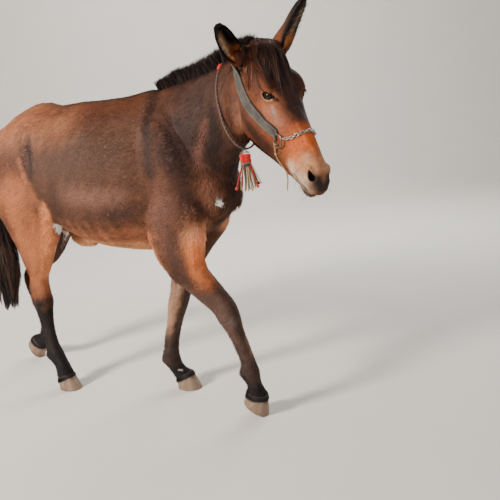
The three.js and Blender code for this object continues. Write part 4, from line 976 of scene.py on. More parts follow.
def coatTone(points):
    # the coat's colour at each place, painted shade and highlights included
    folded = sideways(points)
    x, y, z = points.T
    ragged = 30 * ripple(points, 38, 5) + 12 * ripple(points, 11, 2)
    colour = plain((98, 65, 48), len(points))
    trunk = smooth(-300, -180, x) * fall(360, 430, x)
    colour = mixed(colour, (160, 106, 78), 0.75 * trunk * fall(780, 890, z + ragged))
    colour = mixed(colour, (212, 156, 112), 0.9 * trunk * fall(710, 800, z + 0.6 * ragged))
    colour = blended(colour, bodyTints, folded)
    colour = mixed(colour, (196, 150, 116), 0.8 * fall(30, 60, distance(folded, (-100, 0, 720))))
    # painted shade on the inside of the far (left) hind thigh
    innerThighShade = distance(points, (-410, 92, 720), (130, 50, 130))
    colour = mixed(colour, (56, 38, 31), 0.9 * fall(0.75, 1.15, innerThighShade))
    fold = pathDistance(folded, [(-170, -146, 846), (-192, -122, 822), (-188, -84, 802), (-140, -50, 782)])
    colour = mixed(colour, (250, 244, 236), 0.96 * fall(11, 20, fold + 0.14 * ragged))
    thighTop = pathDistance(points, [(-398, 72, 768), (-388, 90, 751), (-385, 108, 741)])
    colour = mixed(colour, (236, 224, 212), 0.92 * fall(6, 13, thighTop + 0.14 * ragged))
    leg = fall(640, 760, z)

    fore = leg * (x > 0)
    lower = fall(500, 660, z + ragged)
    colour = mixed(colour, (98, 76, 66), fore * lower)
    colour = mixed(colour, (70, 54, 49), fore * fall(200, 420, z + ragged))
    inner = smooth(-10, 25, np.where(y < 0, y + 118, 76 - y)) * fore
    colour = mixed(colour, (196, 156, 128), 0.55 * inner * smooth(230, 330, z) * fall(600, 700, z))
    shin = [(330, 112, 700), (372, 96, 600), (334, 80, 480), (318, 72, 420), (290, 60, 340), (262, 44, 240)]
    front = fall(20, 46, pathDistance(points, shin))
    colour = mixed(colour, (62, 46, 40), 0.85 * front)
    shin = [(650, -128, 590), (704, -122, 510), (722, -119, 452), (730, -114, 392)]
    colour = mixed(colour, (72, 52, 44), 0.6 * fall(16, 44, pathDistance(points, shin)))
    # painted highlight: a grey glint on the outer side of the near knee
    colour = mixed(colour, (112, 96, 92), 0.6 * fall(16, 36, distance(points, (708, -150, 440))))

    hind = leg * (x < 0)
    # painted shade: the far (left) hind leg darkened
    colour = mixed(colour, (76, 50, 38), hind * (y > 0) * 0.75)
    sloping = z + 1.3 * ragged + 0.5 * (x + np.where(y > 0, 690, 405))
    colour = mixed(colour, (88, 58, 44), 0.6 * hind * fall(470, 620, sloping))
    colour = mixed(colour, (34, 28, 27), hind * fall(405, 520, sloping))
    colour = mixed(colour, (54, 44, 41), 0.5 * hind * fall(300, 420, z) * smooth(140, 260, z))
    for hoof in hooves.values():
        turn, start = hoofFrame(hoof)
        local = (points - start) @ turn
        band = np.where(np.hypot(local[:, 0] + 10, local[:, 1]) < 110, local[:, 2], 999)
        colour = mixed(colour, (30, 25, 25), 0.95 * fall(105, 140, band + 0.4 * ragged))
    colour = mixed(colour, (222, 212, 196),
                   0.8 * fall(2, 5.5, pathDistance(points, [(256, 26, 100), (264, 33, 95)])))
    colour = mixed(colour, (236, 232, 226), 0.96 * fall(11, 17, distance(points, whiteSpot)))
    for knob in ((300, 46, 540), (640, -88, 590)):
        share = distance(points, knob, (16, 18, 26))
        colour = mixed(colour, (84, 76, 72), 0.9 * fall(0.7, 1.1, share))

    onHead = toHead(points)
    border = np.interp(onHead[:, 2], [-330, -245, -200, -150, -110, -60, 0],
                       [165, 112, 78, 48, 18, -20, -55])
    head = smooth(-14, 12, onHead[:, 0] - border + 0.3 * ragged)
    head = head * (np.abs(onHead[:, 1]) < 160) * (np.abs(onHead[:, 2] + 110) < 240)
    some = head > 0
    local = sideways(onHead[some])
    face = blended(plain((146, 90, 60), len(local)), headTints, local)
    u, v, w = around(eye, local)
    inside = np.where((w > -20) & (w < 50), eyeOpening(u, v), -99)
    face = mixed(face, (186, 126, 86), 0.55 * (v > 0) * fall(3, 14, np.abs(inside + 7)))
    face = mixed(face, (214, 168, 128), 0.75 * (v < 1) * fall(0.8, 3.4, np.abs(inside + 7)))
    face = mixed(face, (24, 18, 17), smooth(-6.2, -4.2, inside))
    front = (w > -20) & (w < 50)
    for corner, reach in (([(15, -1), (25, -4), (35, -8)], 4.6), ([(-17, 1), (-26, 3)], 3.0)):
        flat = np.stack([np.where(front, u, 999), v, 0 * v], -1)
        share = fall(0.6, 1.3, pathDistance(flat, [(*place, 0) for place in corner]) / reach)
        face = mixed(face, (26, 19, 18), 0.95 * share)
    lidLine = np.abs(inside + 8.5 - 1.5 * smooth(-4, 6, v)) < 1.1
    face = mixed(face, (86, 54, 38), 0.7 * lidLine * (v > 0))
    u, v, w = around(nostril, local)
    inside = np.where(np.abs(w) < 26, nostrilOpening(u, v), -99)
    face = mixed(face, (18, 13, 13), smooth(-1.5, 1.5, inside))
    face = mixed(face, (214, 192, 172),
                 0.6 * fall(3, 8, np.abs(pathDistance(local, mouthLine) - 11)) * (local[:, 2] < -146))
    face = mixed(face, (48, 37, 34), 0.9 * fall(3.4, 6.6, pathDistance(local, mouthLine)))
    # painted shade: the far (left) side of the face, turned from the light, darkened
    face = mixed(face, (52, 36, 30),
                 0.5 * smooth(10, 60, onHead[some, 1]) * fall(330, 420, onHead[some, 0]))
    colour[some] += head[some, None] * (face - colour[some])
    patches = 1 + 0.13 * ripple(points, 90, 1) + 0.11 * ripple(points, 26, 4) + 0.07 * ripple(points, 11, 6)
    # deepened: every channel under the strongest one is lowered
    strongest = colour.max(1, keepdims=True)
    colour = colour * (colour / strongest) ** depthOfColour["purity"]
    colour = depthOfColour["pivot"] * (colour / depthOfColour["pivot"]) ** depthOfColour["contrast"]
    return np.clip(colour * patches[:, None], 0.001, 1)


def setTone(mesh, colours, name="tone"):
    layer = mesh.color_attributes.new(name, "FLOAT_COLOR", "POINT")
    flat = np.column_stack([colours, np.ones(len(colours))]).astype(np.float32).ravel()
    layer.data.foreach_set("color", flat)


def setShare(mesh, values, name):
    mesh.attributes.new(name, "FLOAT", "POINT").data.foreach_set("value", values.astype(np.float32))


def coatLook(name, gain, bumpHeight):
    # short fur: the markings, broken by fine streaks and by the shade of each tuft
    look = Look(name)
    mottle = look.noise(95, 3, 0.6)
    streaks = look.noise(420, 2, 0.6, stretch=(0.35, 1, 0.8))
    level = (mottle * 0.34 + streaks * 0.42 + 0.62) * gain
    if bumpHeight == 0:
        level = level * look.share("shade")
    colour = look.scaled(look.tone("tone"), level)
    inputs = {"Base_Color": colour, "Roughness": streaks * 0.25 + 0.5, "Specular_IOR_Level": 0.22}
    if bumpHeight:
        inputs["Normal"] = look.bump(streaks * 0.7 + mottle * 0.5, bumpHeight, 0.7)
    return look.finish(**inputs)


skinTone = coatTone(skinPoints)
setTone(skinMesh, skinTone)
pieceOf("skin", skinMesh, coatLook("coatSkin", 0.86, 0.0016),
        ["torso", "neck", "head"] + ["leg_" + name for name in legRows])
print("skin painted")


# Coat: flat tapered blades that lie along the body


def ribbons(name, material, lines, across, width, tone, shade, unwrap, replaces=(), taper=0.75,
            limit=195000):
    # flat strips along lines of points, each narrowing from its root to one point at its tip
    count, rows = lines.shape[:2]
    t = np.linspace(0, 1, rows)
    half = 0.5 * np.asarray(width, float)[:, None] * (1 - taper * t[:-1] ** 1.5)
    aside = half[..., None] * (across[:, :-1] if across.ndim == 3 else across[:, None])
    pairs = np.stack([lines[:, :-1] - aside, lines[:, :-1] + aside], 2)
    points = np.concatenate([pairs.reshape(count, -1, 3), lines[:, -1:]], 1)
    k = 2 * np.arange(rows - 2)
    one = np.concatenate([np.stack([k, k + 1, k + 3], -1), np.stack([k, k + 3, k + 2], -1),
                          [[2 * rows - 4, 2 * rows - 3, 2 * rows - 2]]])
    level = np.concatenate([np.repeat(t[:-1], 2), [1.0]])
    edge = np.concatenate([np.tile([-1.0, 1.0], rows - 1), [0.0]])
    size = len(level)
    perPiece = limit // len(one)
    parts = range(0, count, perPiece)
    for part, start in enumerate(parts):
        some = slice(start, min(start + perPiece, count))
        number = some.stop - some.start
        faces = (np.arange(number)[:, None, None] * size + one[None]).reshape(-1, 3)
        mesh = meshOf(name if len(parts) == 1 else f"{name}_{part + 1}", points[some].reshape(-1, 3), faces)
        setTone(mesh, np.repeat(tone[some], size, axis=0))
        setShare(mesh, (shade[some, None] * (0.82 + 0.34 * level)).ravel(), "shade")
        place = unwrap[some, None] + 0.0015 * np.stack([edge, 2 * level - 1], -1)
        layer = mesh.uv_layers.new(name="OFBake")
        layer.data.foreach_set("uv", place.reshape(-1, 2)[faces.ravel()].astype(np.float32).ravel())
        pieceOf(mesh.name, mesh, material, replaces)
    print(name, count, "strips,", count * len(one), "triangles")


def fur(name, material, roots, out, way, tone, shade, length, width, rise, unwrap, curl=0.0, steps=2):
    # each blade runs from its root along the way, climbs with a quarter sine to its rise,
    # and bends aside by curl times the square of its length
    t = np.linspace(0, 1, steps + 1)[None, :, None]
    length, width, rise, curl = (np.broadcast_to(np.asarray(v, float), (len(roots),))
                                 for v in (length, width, rise, curl))
    across = unit(np.cross(out, way))
    lines = (roots[:, None] + way[:, None] * length[:, None, None] * t
             + out[:, None] * ((rise[:, None, None] + 1) * np.sin(0.5 * np.pi * t) - 1)
             + across[:, None] * (curl * length)[:, None, None] * t ** 2)
    ribbons(name, material, lines, across, width, tone, shade, unwrap)


def scattered(triangles, density):
    # random places on the skin, so many to each square metre, evenly by area
    a, b, c = (skinPoints[triangles[:, k]] for k in range(3))
    area = np.linalg.norm(np.cross(b - a, c - a), axis=1) / 2e6
    total = np.cumsum(area * density)
    picks = np.searchsorted(total, chance.random(int(total[-1])) * total[-1])
    p, q = chance.random((2, len(picks), 1))
    over = p + q > 1
    p, q = np.where(over, 1 - p, p), np.where(over, 1 - q, q)
    places = a[picks] + p * (b - a)[picks] + q * (c - a)[picks]
    na, nb, nc = (skinNormals[triangles[picks, k]] for k in range(3))
    return places, unit(na + p * (nb - na) + q * (nc - na))


axes = {   # the middle lines that each part of the skin is unwrapped round
    "trunk": [(-700, 0, 1080), (716, 0, 1000)], "neck": [(480, 0, 1130), (960, -160, 1360)],
    "head": [fromHead((-30, 0, -90)), fromHead((590, 0, -120))],
    "legFrontRight": [(490, -115, 800), (500, -134, 664), (680, -119, 440), (722, -92, 200),
                      (740, -80, 60)],
    "legFrontLeft": [(470, 115, 800), (388, 112, 664), (276, 72, 420), (216, 42, 200), (240, 50, 60)],
    "legHindRight": [(-390, -120, 900), (-350, -131, 742), (-410, -112, 460), (-405, -115, 230),
                     (-350, -120, 90)],
    "legHindLeft": [(-440, 120, 900), (-505, 124, 752), (-690, 98, 460), (-702, 124, 220),
                    (-770, 144, 100)],
}


def partOf(points):
    # which part each place belongs to
    onHead = toHead(points)
    x, y, z = points.T
    part = np.full(len(points), "trunk", dtype="<U14")
    part[((points - (560, -10, 1210)) @ (0.843, -0.02, 0.538) > 0) & (z > 980)] = "neck"
    head = ((onHead[:, 0] + 0.2 * (onHead[:, 2] + 100) > -10) & (np.abs(onHead[:, 1]) < 150)
            & (onHead[:, 2] > -330))
    part[head & (x > 820)] = "head"
    low = (z < 700) | ((z < 780) & (np.abs(y) > 70) & ((x < -230) | (x > 480)))
    for name in legRows:
        along, side = name.split("_")
        here = low & ((x > 0) == (along == "front")) & ((y > 0) == (side == "left"))
        part[here] = "leg" + along.title() + side.title()
    return part


def unwrapped(points, part):
    # how far along its part's middle line, and how far round it, both within 0 to 1
    place = np.zeros((len(points), 2))
    for name, path in axes.items():
        some = part == name
        path = np.array(path, float)
        lengths = np.linalg.norm(np.diff(path, axis=0), axis=1)
        best, along, away = np.full(some.sum(), 1e9), np.zeros(some.sum()), np.zeros((some.sum(), 3))
        for k, (a, b) in enumerate(zip(path[:-1], path[1:])):
            t = np.clip((points[some] - a) @ (b - a) / lengths[k] ** 2, 0, 1)
            offset = points[some] - a - t[:, None] * (b - a)
            gap = np.linalg.norm(offset, axis=1)
            nearer = gap < best
            best = np.where(nearer, gap, best)
            along = np.where(nearer, (lengths[:k].sum() + t * lengths[k]) / lengths.sum(), along)
            away[nearer] = offset[nearer]
        way = unit(path[-1] - path[0])
        first = unit(np.cross(way, (0, 1, 0.01)))
        second = np.cross(way, first)
        angle = np.arctan2(away @ second, away @ first) / (2 * np.pi) + 0.5
        place[some] = np.stack([0.01 + 0.98 * along, 0.01 + 0.98 * angle], -1)
    return place


def lieOfCoat(points, normals, part):
    # the way the hair points: back along the body, down the legs, and towards the lips on the face
    way = np.tile((-0.9, 0.0, -0.42), (len(points), 1))
    x, z = points[:, 0], points[:, 2]
    way[part == "neck"] = (-0.72, 0.18, -0.66)
    down = np.array((-0.1, 0, -1.0))
    low = fall(640, 900, z) * ((x < -180) | (x > 420))
    way += low[:, None] * (down - way)
    chest = (smooth(560, 660, x) * (part == "trunk"))[:, None]
    way += chest * (np.array((-0.1, 0, -1)) - way)
    onHead = toHead(points)
    face = np.stack([np.full(len(points), 0.85), 0.5 * np.sign(onHead[:, 1]),
                     -0.45 * smooth(-20, -120, -onHead[:, 2] - 60)], -1)
    way = np.where((part == "head")[:, None], headWay(face), way)
    sway = (0.35 * ripple(points, 120, 6) + 0.22 * ripple(points, 34, 9)
            + 0.16 * chance.standard_normal(len(points)))
    way = way - normals * (way * normals).sum(1)[:, None]
    way = unit(way)
    return unit(way + np.cross(normals, way) * sway[:, None])


coatSize = {   # tufts to a square metre, and the length, width and rise of each
    "density": {"trunk": 52000.0, "neck": 60000, "head": 125000, "leg": 74000},
    "length": {"trunk": 15.0, "neck": 15, "head": 8, "leg": 10},
    "width": {"trunk": 3.1, "neck": 3.1, "head": 1.9, "leg": 2.5},
    "rise": {"trunk": 3.0, "neck": 3, "head": 1.3, "leg": 2},
    "share": 1,
}


def byPart(name, part):
    size = coatSize[name]
    return np.select([np.char.startswith(part, kind) for kind in size], list(size.values()))


def coat():
    density = byPart("density", partOf(skinPoints[skinTriangles].mean(1)))
    places, normals = scattered(skinTriangles, density * coatSize["share"])
    part = partOf(places)
    folded = sideways(toHead(places))
    bare = np.zeros(len(places), bool)
    u, v, w = around(eye, folded)
    bare |= (eyeOpening(u, v) > -3.4) & (w > -12) & (w < 40)
    u, v, w = around(nostril, folded)
    bare |= (nostrilOpening(u, v) > -2) & (np.abs(w) < 24)
    bare |= (pathDistance(folded, mouthLine) < 2.6) & (part == "head")
    hoofed = np.zeros(len(places), bool)
    for hoof in hooves.values():
        turn, start = hoofFrame(hoof)
        local = (places - start) @ turn
        hoofed |= (np.hypot(local[:, 0] + 10, local[:, 1]) < 100) & (local[:, 2] < 62 + 0.16 * local[:, 0])
    kept = ~(bare | hoofed)
    places, normals, part, folded = places[kept], normals[kept], part[kept], folded[kept]
    leg, head = np.char.startswith(part, "leg"), part == "head"
    way = lieOfCoat(places, normals, part)
    # longer below the belly, on the chest, down the backs of the legs and under the jaw, finer on the muzzle
    under = fall(0, 0.75, normals[:, 2] + 0.75) * ~leg * ~head
    chest = smooth(560, 640, places[:, 0]) * smooth(0.1, 0.8, normals[:, 0]) * (part == "trunk")
    backOfLeg = smooth(0.35, 0.9, -normals[:, 0]) * leg
    muzzle = smooth(420, 520, folded[:, 0])
    jaw = head * fall(-250, -200, folded[:, 2] + 0.15 * folded[:, 0]) * (1 - muzzle)
    muzzle = muzzle * head
    length = byPart("length", part) - 3.5 * muzzle + 7 * under + 8 * chest + 8 * backOfLeg + 8 * jaw
    rise = byPart("rise", part) + 3 * under + 4 * chest + 4.5 * backOfLeg + 3 * jaw
    width = byPart("width", part) - 0.6 * muzzle
    spot = fall(24, 46, distance(places, whiteSpot))
    length *= chance.uniform(0.75, 1.25, len(places)) * (1 - 0.66 * spot)
    rise *= chance.uniform(0.6, 1.35, len(places))
    tone = coatTone(places)
    shade = 1 + 0.13 * chance.standard_normal(len(places)) + 0.12 * ripple(places, 7, 7)
    shade = np.clip(shade, 0.6, 1.5)
    unwrap = unwrapped(places, part)
    look = coatLook("coatTufts", 1.0, 0)
    for name in axes:
        some = part == name
        fur("coat_" + name, look, places[some], normals[some], way[some], tone[some], shade[some],
            length[some],
            width[some], rise[some], unwrap[some], chance.uniform(-0.12, 0.12, some.sum()))


coat()


# Ears: a curled wall, open along its front, with short coat outside and long hair in the cup
earSize = {"length": 204, "width": 70, "wall": 4.2, "sunk": 34, "foreShare": {"right": 0.84, "left": 1.0},
           "flare": {"right": 0.0, "left": 0.95}}
earShape = [   # share of the width, and how far round the wall curls, in degrees
    [0.56, 152], [0.8, 140], [0.96, 126], [1, 114], [0.95, 104], [0.87, 100], [0.7, 98], [0.38, 94],
]


def earWall(ear, s, k, inset):
    # a place on the wall: s up the ear, k from -1 to 1 round the curl, inset into the cup
    base, along, front, across = earAxes(ear)
    share, curl = np.moveaxis(between(earShape, s), -1, 0)
    half = 0.5 * earSize["width"] * share
    angle = np.radians(curl) * k
    wide, deep = np.maximum(half - inset, 0.5), np.maximum(0.72 * half - inset, 0.4)
    slim = np.where(k > 0, earSize["foreShare"][ear["name"]], 1)
    wide = wide * slim
    # the left ear is seen from its back, where its root spreads
    flare = earSize["flare"][ear["name"]] * fall(0.12, 0.62, s) * (np.cos(angle) > 0)
    deep = deep * (1 + flare)
    rolled = 3.5 * smooth(0.75, 1, np.abs(k)) * smooth(0.1, 0.5, s)
    centre = (base + along * (s * (earSize["length"] + earSize["sunk"]) - earSize["sunk"])[..., None]
              + front * (14 * s * s - 6)[..., None])
    folds = 1.2 * np.exp(-((np.abs(k) - 0.45) / 0.09) ** 2) * (inset > 2) * np.sin(np.pi * s)
    return (centre + across * ((wide - folds) * np.sin(angle) + rolled * np.sign(k))[..., None]
            - front * ((deep - folds) * np.cos(angle))[..., None])


def earTone(s, k, inside, right):
    # outside orange brown at the root, dark towards the rim and tip; inside bands of tan and black on a dark
    # cup that is black hair with painted shade
    count = len(s)
    colour = plain((146, 86, 54), count)
    colour = mixed(colour, (92, 60, 46), smooth(0.25, 0.6, s))
    colour = mixed(colour, (34, 27, 26), smooth(0.6, 0.86, s))
    rim = smooth(0.7, 0.92, np.abs(k)) * smooth(0.12, 0.3, s)
    colour = mixed(colour, (32, 26, 25), rim)
    # the cup's dark base: black hair, with painted shade inside the cup
    cup = plain((52, 40, 37), count)
    if right:
        cup = mixed(cup, (214, 180, 148),
                    smooth(-0.97, -0.92, k) * fall(0.02, 0.34, k) * fall(0.76, 0.92, s))
    else:
        stripe = np.exp(-((k - 0.62) / 0.12) ** 2) + np.exp(-((k + 0.55) / 0.16) ** 2)
        cup = mixed(cup, (224, 192, 160), 0.9 * stripe * fall(0.7, 0.9, s))
    cup = mixed(cup, (226, 148, 94), fall(0.26, 0.46, s))
    cup = mixed(cup, (26, 21, 21), smooth(0.9, 0.97, np.abs(k)) * smooth(0.2, 0.35, s))
    return np.where(inside[:, None], cup, colour)


def earPiece(name, ear, skinLook, furLook, hairLook):
    rings, steps = ((72, 56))
    s = np.linspace(0, 1, rings)
    k = np.linspace(-1, 1, steps)
    wall = np.interp(s, [0, 0.5, 1], [earSize["wall"], earSize["wall"] * 0.8, 1.6])
    sGrid, kGrid = np.meshgrid(s, k, indexing="ij")
    outer = earWall(ear, sGrid, kGrid, 0)
    inner = earWall(ear, sGrid, kGrid, np.broadcast_to(wall[:, None], sGrid.shape))
    # the rims are rounded by one more column between the walls, pushed outwards
    middle = [(outer[:, j] + inner[:, j]) / 2
              + unit(outer[:, j] - outer[:, j - np.sign(j + 0.5).astype(int)]) * 1.2
              for j in (-1, 0)]
    grid = np.concatenate([outer, middle[0][:, None], inner[:, ::-1], middle[1][:, None]], 1)
    points, quads, caps = shell(fromHead(grid))
    points[-1] = (fromHead(earWall(ear, np.array([1.0]), np.array([0.0]), 0.5))[0]
                  + headWay(unit(ear["way"])) * 3)
    mesh = meshOf("ear_" + name, points, quads, caps)
    inside = np.concatenate([np.zeros(steps + 1, bool), np.ones(steps, bool), [False]])
    across = np.concatenate([k, [1.0], k[::-1], [-1.0]])
    tone = earTone(np.repeat(s, len(across)), np.tile(across, rings), np.tile(inside, rings),
                   name == "right")
    tone = np.concatenate([tone, tone[:1], tone[-1:]])
    tone = tone * (1 + 0.12 * ripple(points, 12, 2))[:, None]
    setTone(mesh, tone)
    pieceOf("skin_ear_" + name, mesh, skinLook, ["ear_" + name])

    front = headWay(earAxes(ear)[2])

    def grown(label, count, look, inset, sRange, kRange, length, width, rise, lean):
        count = int(count * (1))
        s, k = chance.uniform(*sRange, count), chance.uniform(*kRange, count)
        k = np.where(chance.random(count) < 0.5, k, -k) if kRange[0] > 0 else k
        level = np.interp(s, np.linspace(0, 1, rings), wall) if inset else np.zeros(count)
        roots = fromHead(earWall(ear, s, k, level))
        ahead = fromHead(earWall(ear, np.minimum(s + 0.02, 1), k, level))
        beside = fromHead(earWall(ear, s, np.clip(k + 0.03, -1.2, 1.2), level))
        up = unit(ahead - roots)
        out = unit(np.cross(up, beside - roots))
        centre = fromHead(earWall(ear, s, k * 0, np.full(count, 12.0)))
        towards = np.sign(((centre - roots) * out).sum(1))[:, None]
        out = out * towards * (1 if inset else -1)
        way = unit(up + lean * front + 0.16 * chance.standard_normal((count, 3)))
        way = unit(way - out * (way * out).sum(1)[:, None] * (0 if inset else 1))
        tone = earTone(s, k, np.full(count, bool(inset)), name == "right")
        if inset:
            tone = tone * chance.uniform(0.75, 1.35, count)[:, None]
        shade = 1 + 0.14 * chance.standard_normal(count)
        unwrap = np.stack([0.02 + 0.96 * s, 0.25 + 0.2 * k + (0.5 if inset else 0)], -1)
        size = chance.uniform(0.7, 1.3, count)
        fur(f"{label}_{name}", look, roots, out, way, tone, np.clip(shade, 0.6, 1.5), length * size, width,
            rise * size,
            unwrap, chance.uniform(-0.15, 0.15, count), 2 if length < 12 else 4)

    grown("coat_ear", 9000, furLook, 0, (0.16, 0.99), (-1, 1), 9, 2.0, 1.6, 0.0)
    grown("ear_fringe", 1500, hairLook, 0, (0.2, 0.98), (0.9, 1.0), 11, 1.3, 3.0, 0.25)
    grown("ear_hair", 2600, hairLook, 1, (0.2, 0.86), (-0.96, 0.96), 26, 1.5, 7, 0.5)


# Long hair

# strands of the mane, and locks and the strands in each
locks = {"mane": 11000, "forelock": ((64, 60)),
         "tail": ((120, 54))}


def crossOf(lines, lean):
    # the flat side of each strip: along the line crossed with a leaning direction of its own
    along = np.gradient(lines, axis=1)
    return unit(np.cross(along, lean[:, None]))


def hairLook(name, gloss):
    look = Look(name)
    fine = look.noise(260, 2, 0.5)
    level = look.share("shade") * (fine * 0.5 + 0.75)
    return look.finish(Base_Color=look.scaled(look.tone("tone"), level), Roughness=fine * 0.2 + gloss,
                       Specular_IOR_Level=0.27)


# [x, y, z of the crest, height of the hair, half thickness]
maneRows = [
    [404, 0, 1386, 30, 8], [462, -3, 1386, 46, 12], [520, -14, 1397, 52, 14], [600, -26, 1408, 55, 15],
    [700, -55, 1426, 57, 15], [790, -86, 1446, 59, 15], [850, -109, 1459, 57, 14],
    [900, -126, 1471, 46, 13],
    [930, -133, 1482, 34, 12],
]
cordTop = np.array((782, -84, 1446.0))
maneWay = unit((0.96, -0.28, 0.2))


def mane(look):
    count = locks["mane"]
    s = chance.random(count)
    table = between(maneRows, s)
    crest, height, half = table[:, :3], table[:, 3], table[:, 4]
    side = unit(np.cross(maneWay, (0, 0, 1)))
    q = chance.uniform(-1, 1, count)
    away = (crest - cordTop) @ maneWay
    clump = 0.6 * ripple(crest, 47, 3) + 0.5 * ripple(crest, 17, 5)
    lean = 0.16 * clump + 0.24 * chance.standard_normal(count) + 0.1
    lean = np.where(np.abs(away) < 26, np.sign(away) * 0.12 + 0.3 * lean, lean)
    tall = height * chance.uniform(0.4, 1.0, count) ** 0.6 * (1 - 0.25 * q ** 2) * (1 + 0.12 * clump) * 1.04
    roots = crest + side * (q * half)[:, None] - (0, 0, 1) * (10 + 5 * q ** 2)[:, None]
    fan = 0.3 * q + 0.18 * chance.standard_normal(count)
    t = np.linspace(0, 1, 6)[None, :, None]
    way = (0, 0, 1) + side * (fan * 0.5)[:, None] + maneWay * (lean * 0.5)[:, None]
    bend = (side * (fan * 0.6 + 0.05 * clump)[:, None]
            + maneWay * (lean + 0.12 * chance.standard_normal(count))[:, None])
    lines = (roots[:, None]
             + (way[:, None] * t + bend[:, None] * t ** 2.2 * 0.8) * (tall + 11)[:, None, None])
    kept = np.abs(away) > 3.6
    lines, shades = lines[kept], np.clip(0.95 + 0.22 * chance.standard_normal(kept.sum()), 0.5, 1.8)
    tone = mixed(plain((35, 27, 26), len(lines)), (92, 66, 54), 0.5 * chance.random(len(lines)) ** 3)
    across = crossOf(lines, chance.standard_normal((len(lines), 3)))
    ribbons("mane", look, lines, across, np.full(len(lines), 2.3), tone, shades,
            unwrapped(roots[kept], np.full(len(lines), "neck")))


# [x and y of the root on the head, reach, sideways drift, width, lift]
forelockRows = [
    [4, -40, 64, -20, 30, 30], [2, -14, 90, -8, 36, 32], [6, 18, 92, 20, 34, 32],
    [22, -38, 130, -32, 28, 30],
    [24, -22, 170, -34, 28, 30], [26, -4, 176, -10, 30, 30], [24, 14, 160, 16, 28, 30],
    [34, -30, 150, -16, 24, 26],
    [20, -52, 130, -14, 26, 22], [30, -46, 160, -22, 22, 22], [14, 34, 96, 24, 26, 26],
    [-4, -56, 110, -8, 32, 32], [8, -64, 150, 4, 26, 24], [-14, -20, 80, 0, 40, 36],
    [-10, 26, 70, 10, 36, 34],
]


def headTops():
    # heights of the skin over a grid of the head, by rays from above it
    xs, ys = np.arange(-50, 281, 10), np.arange(-96, 97, 8)
    heights = np.full((len(xs), len(ys)), -60.0)
    down = headWay((0, 0, -1))
    for i, x in enumerate(xs):
        for j, y in enumerate(ys):
            hit = skinTree.ray_cast(Vector(fromHead((x, y, 200))), Vector(down))[0]
            if hit:
                heights[i, j] = toHead(np.array(hit))[2]
    return xs, ys, heights


def forelock(look):
    xs, ys, heights = headTops()

    def top(x, y):
        i = np.clip((x - xs[0]) / 10, 0, len(xs) - 1.001)
        j = np.clip((y - ys[0]) / 8, 0, len(ys) - 1.001)
        a, b = i.astype(int), j.astype(int)
        f, g = i - a, j - b
        return (heights[a, b] * (1 - f) * (1 - g) + heights[a + 1, b] * f * (1 - g)
                + heights[a, b + 1] * (1 - f) * g + heights[a + 1, b + 1] * f * g)

    lockCount, perLock = locks["forelock"]
    count = lockCount * perLock
    rows = np.array(forelockRows, float)[np.arange(lockCount) % len(forelockRows)]
    rows[:, 0] += chance.uniform(-12, 10, lockCount)
    rows[:, 1] += rows[:, 4] * chance.uniform(-0.55, 0.55, lockCount)
    rows[:, 2] *= chance.uniform(0.7, 1.3, lockCount)
    rows[:, 3] += chance.normal(0, 7, lockCount)
    depth = np.repeat(chance.random(lockCount), perLock)
    phase = np.repeat(6.3 * chance.random(lockCount), perLock)[:, None]
    rows = np.repeat(rows, perLock, axis=0)
    # each strand keeps a place in its lock, and the lock narrows to its tip
    spread = chance.normal(0, 0.3, count) * rows[:, 4]
    reach = rows[:, 2] * (1 + 0.06 * chance.standard_normal(count))
    t = np.linspace(0, 1, 14)[None]
    x0 = rows[:, 0] - 8 + 10 * chance.random(count)
    wave = (3.2 * np.sin(5 * t + phase) + 1.2 * np.sin(11 * t + 6.3 * chance.random((count, 1)))) * t
    x = x0[:, None] + reach[:, None] * t ** 1.2
    y = rows[:, 1:2] + spread[:, None] * (1 - 0.86 * t ** 0.8) + rows[:, 3:4] * t ** 1.8 + wave
    lift = rows[:, 5] * (0.4 + 0.6 * depth)
    up = (-9 + (lift[:, None] + 9) * np.sin(np.pi * t ** 0.62) ** 0.8 * (1 - 0.2 * t) + 2.5
          + 7 * depth[:, None] * t + 1.6 * chance.standard_normal((count, 1)) * t)
    z = top(x, y) + np.where(t < 0.02, -8, up)
    lines = fromHead(np.stack([x, y, z], -1))
    reddish = np.repeat(chance.random(lockCount) ** 1.5, perLock) * chance.uniform(0.4, 1, count)
    reddish = reddish * (0.35 + 0.65 * smooth(-24, -42, rows[:, 1]) + 0.6 * smooth(26, 40, rows[:, 1]))
    tone = mixed(plain((46, 33, 29), count), (140, 82, 54), reddish)
    across = crossOf(lines, headWay((0, 0, 1)) + 0.45 * chance.standard_normal((count, 3)))
    shades = np.clip(1 + 0.2 * chance.standard_normal(count), 0.5, 1.7)
    ribbons("forelock", look, lines, across, np.full(count, 2.2), tone, shades,
            unwrapped(lines[:, 0], np.full(count, "head")))


tailRows = [   # the hair's bounds: front, back, half width, height
    [-694, -742, 26, 1095], [-702, -772, 36, 960], [-698, -790, 44, 800], [-698, -802, 46, 640],
    [-710, -812, 42, 500], [-740, -822, 30, 400], [-782, -816, 12, 330],
]


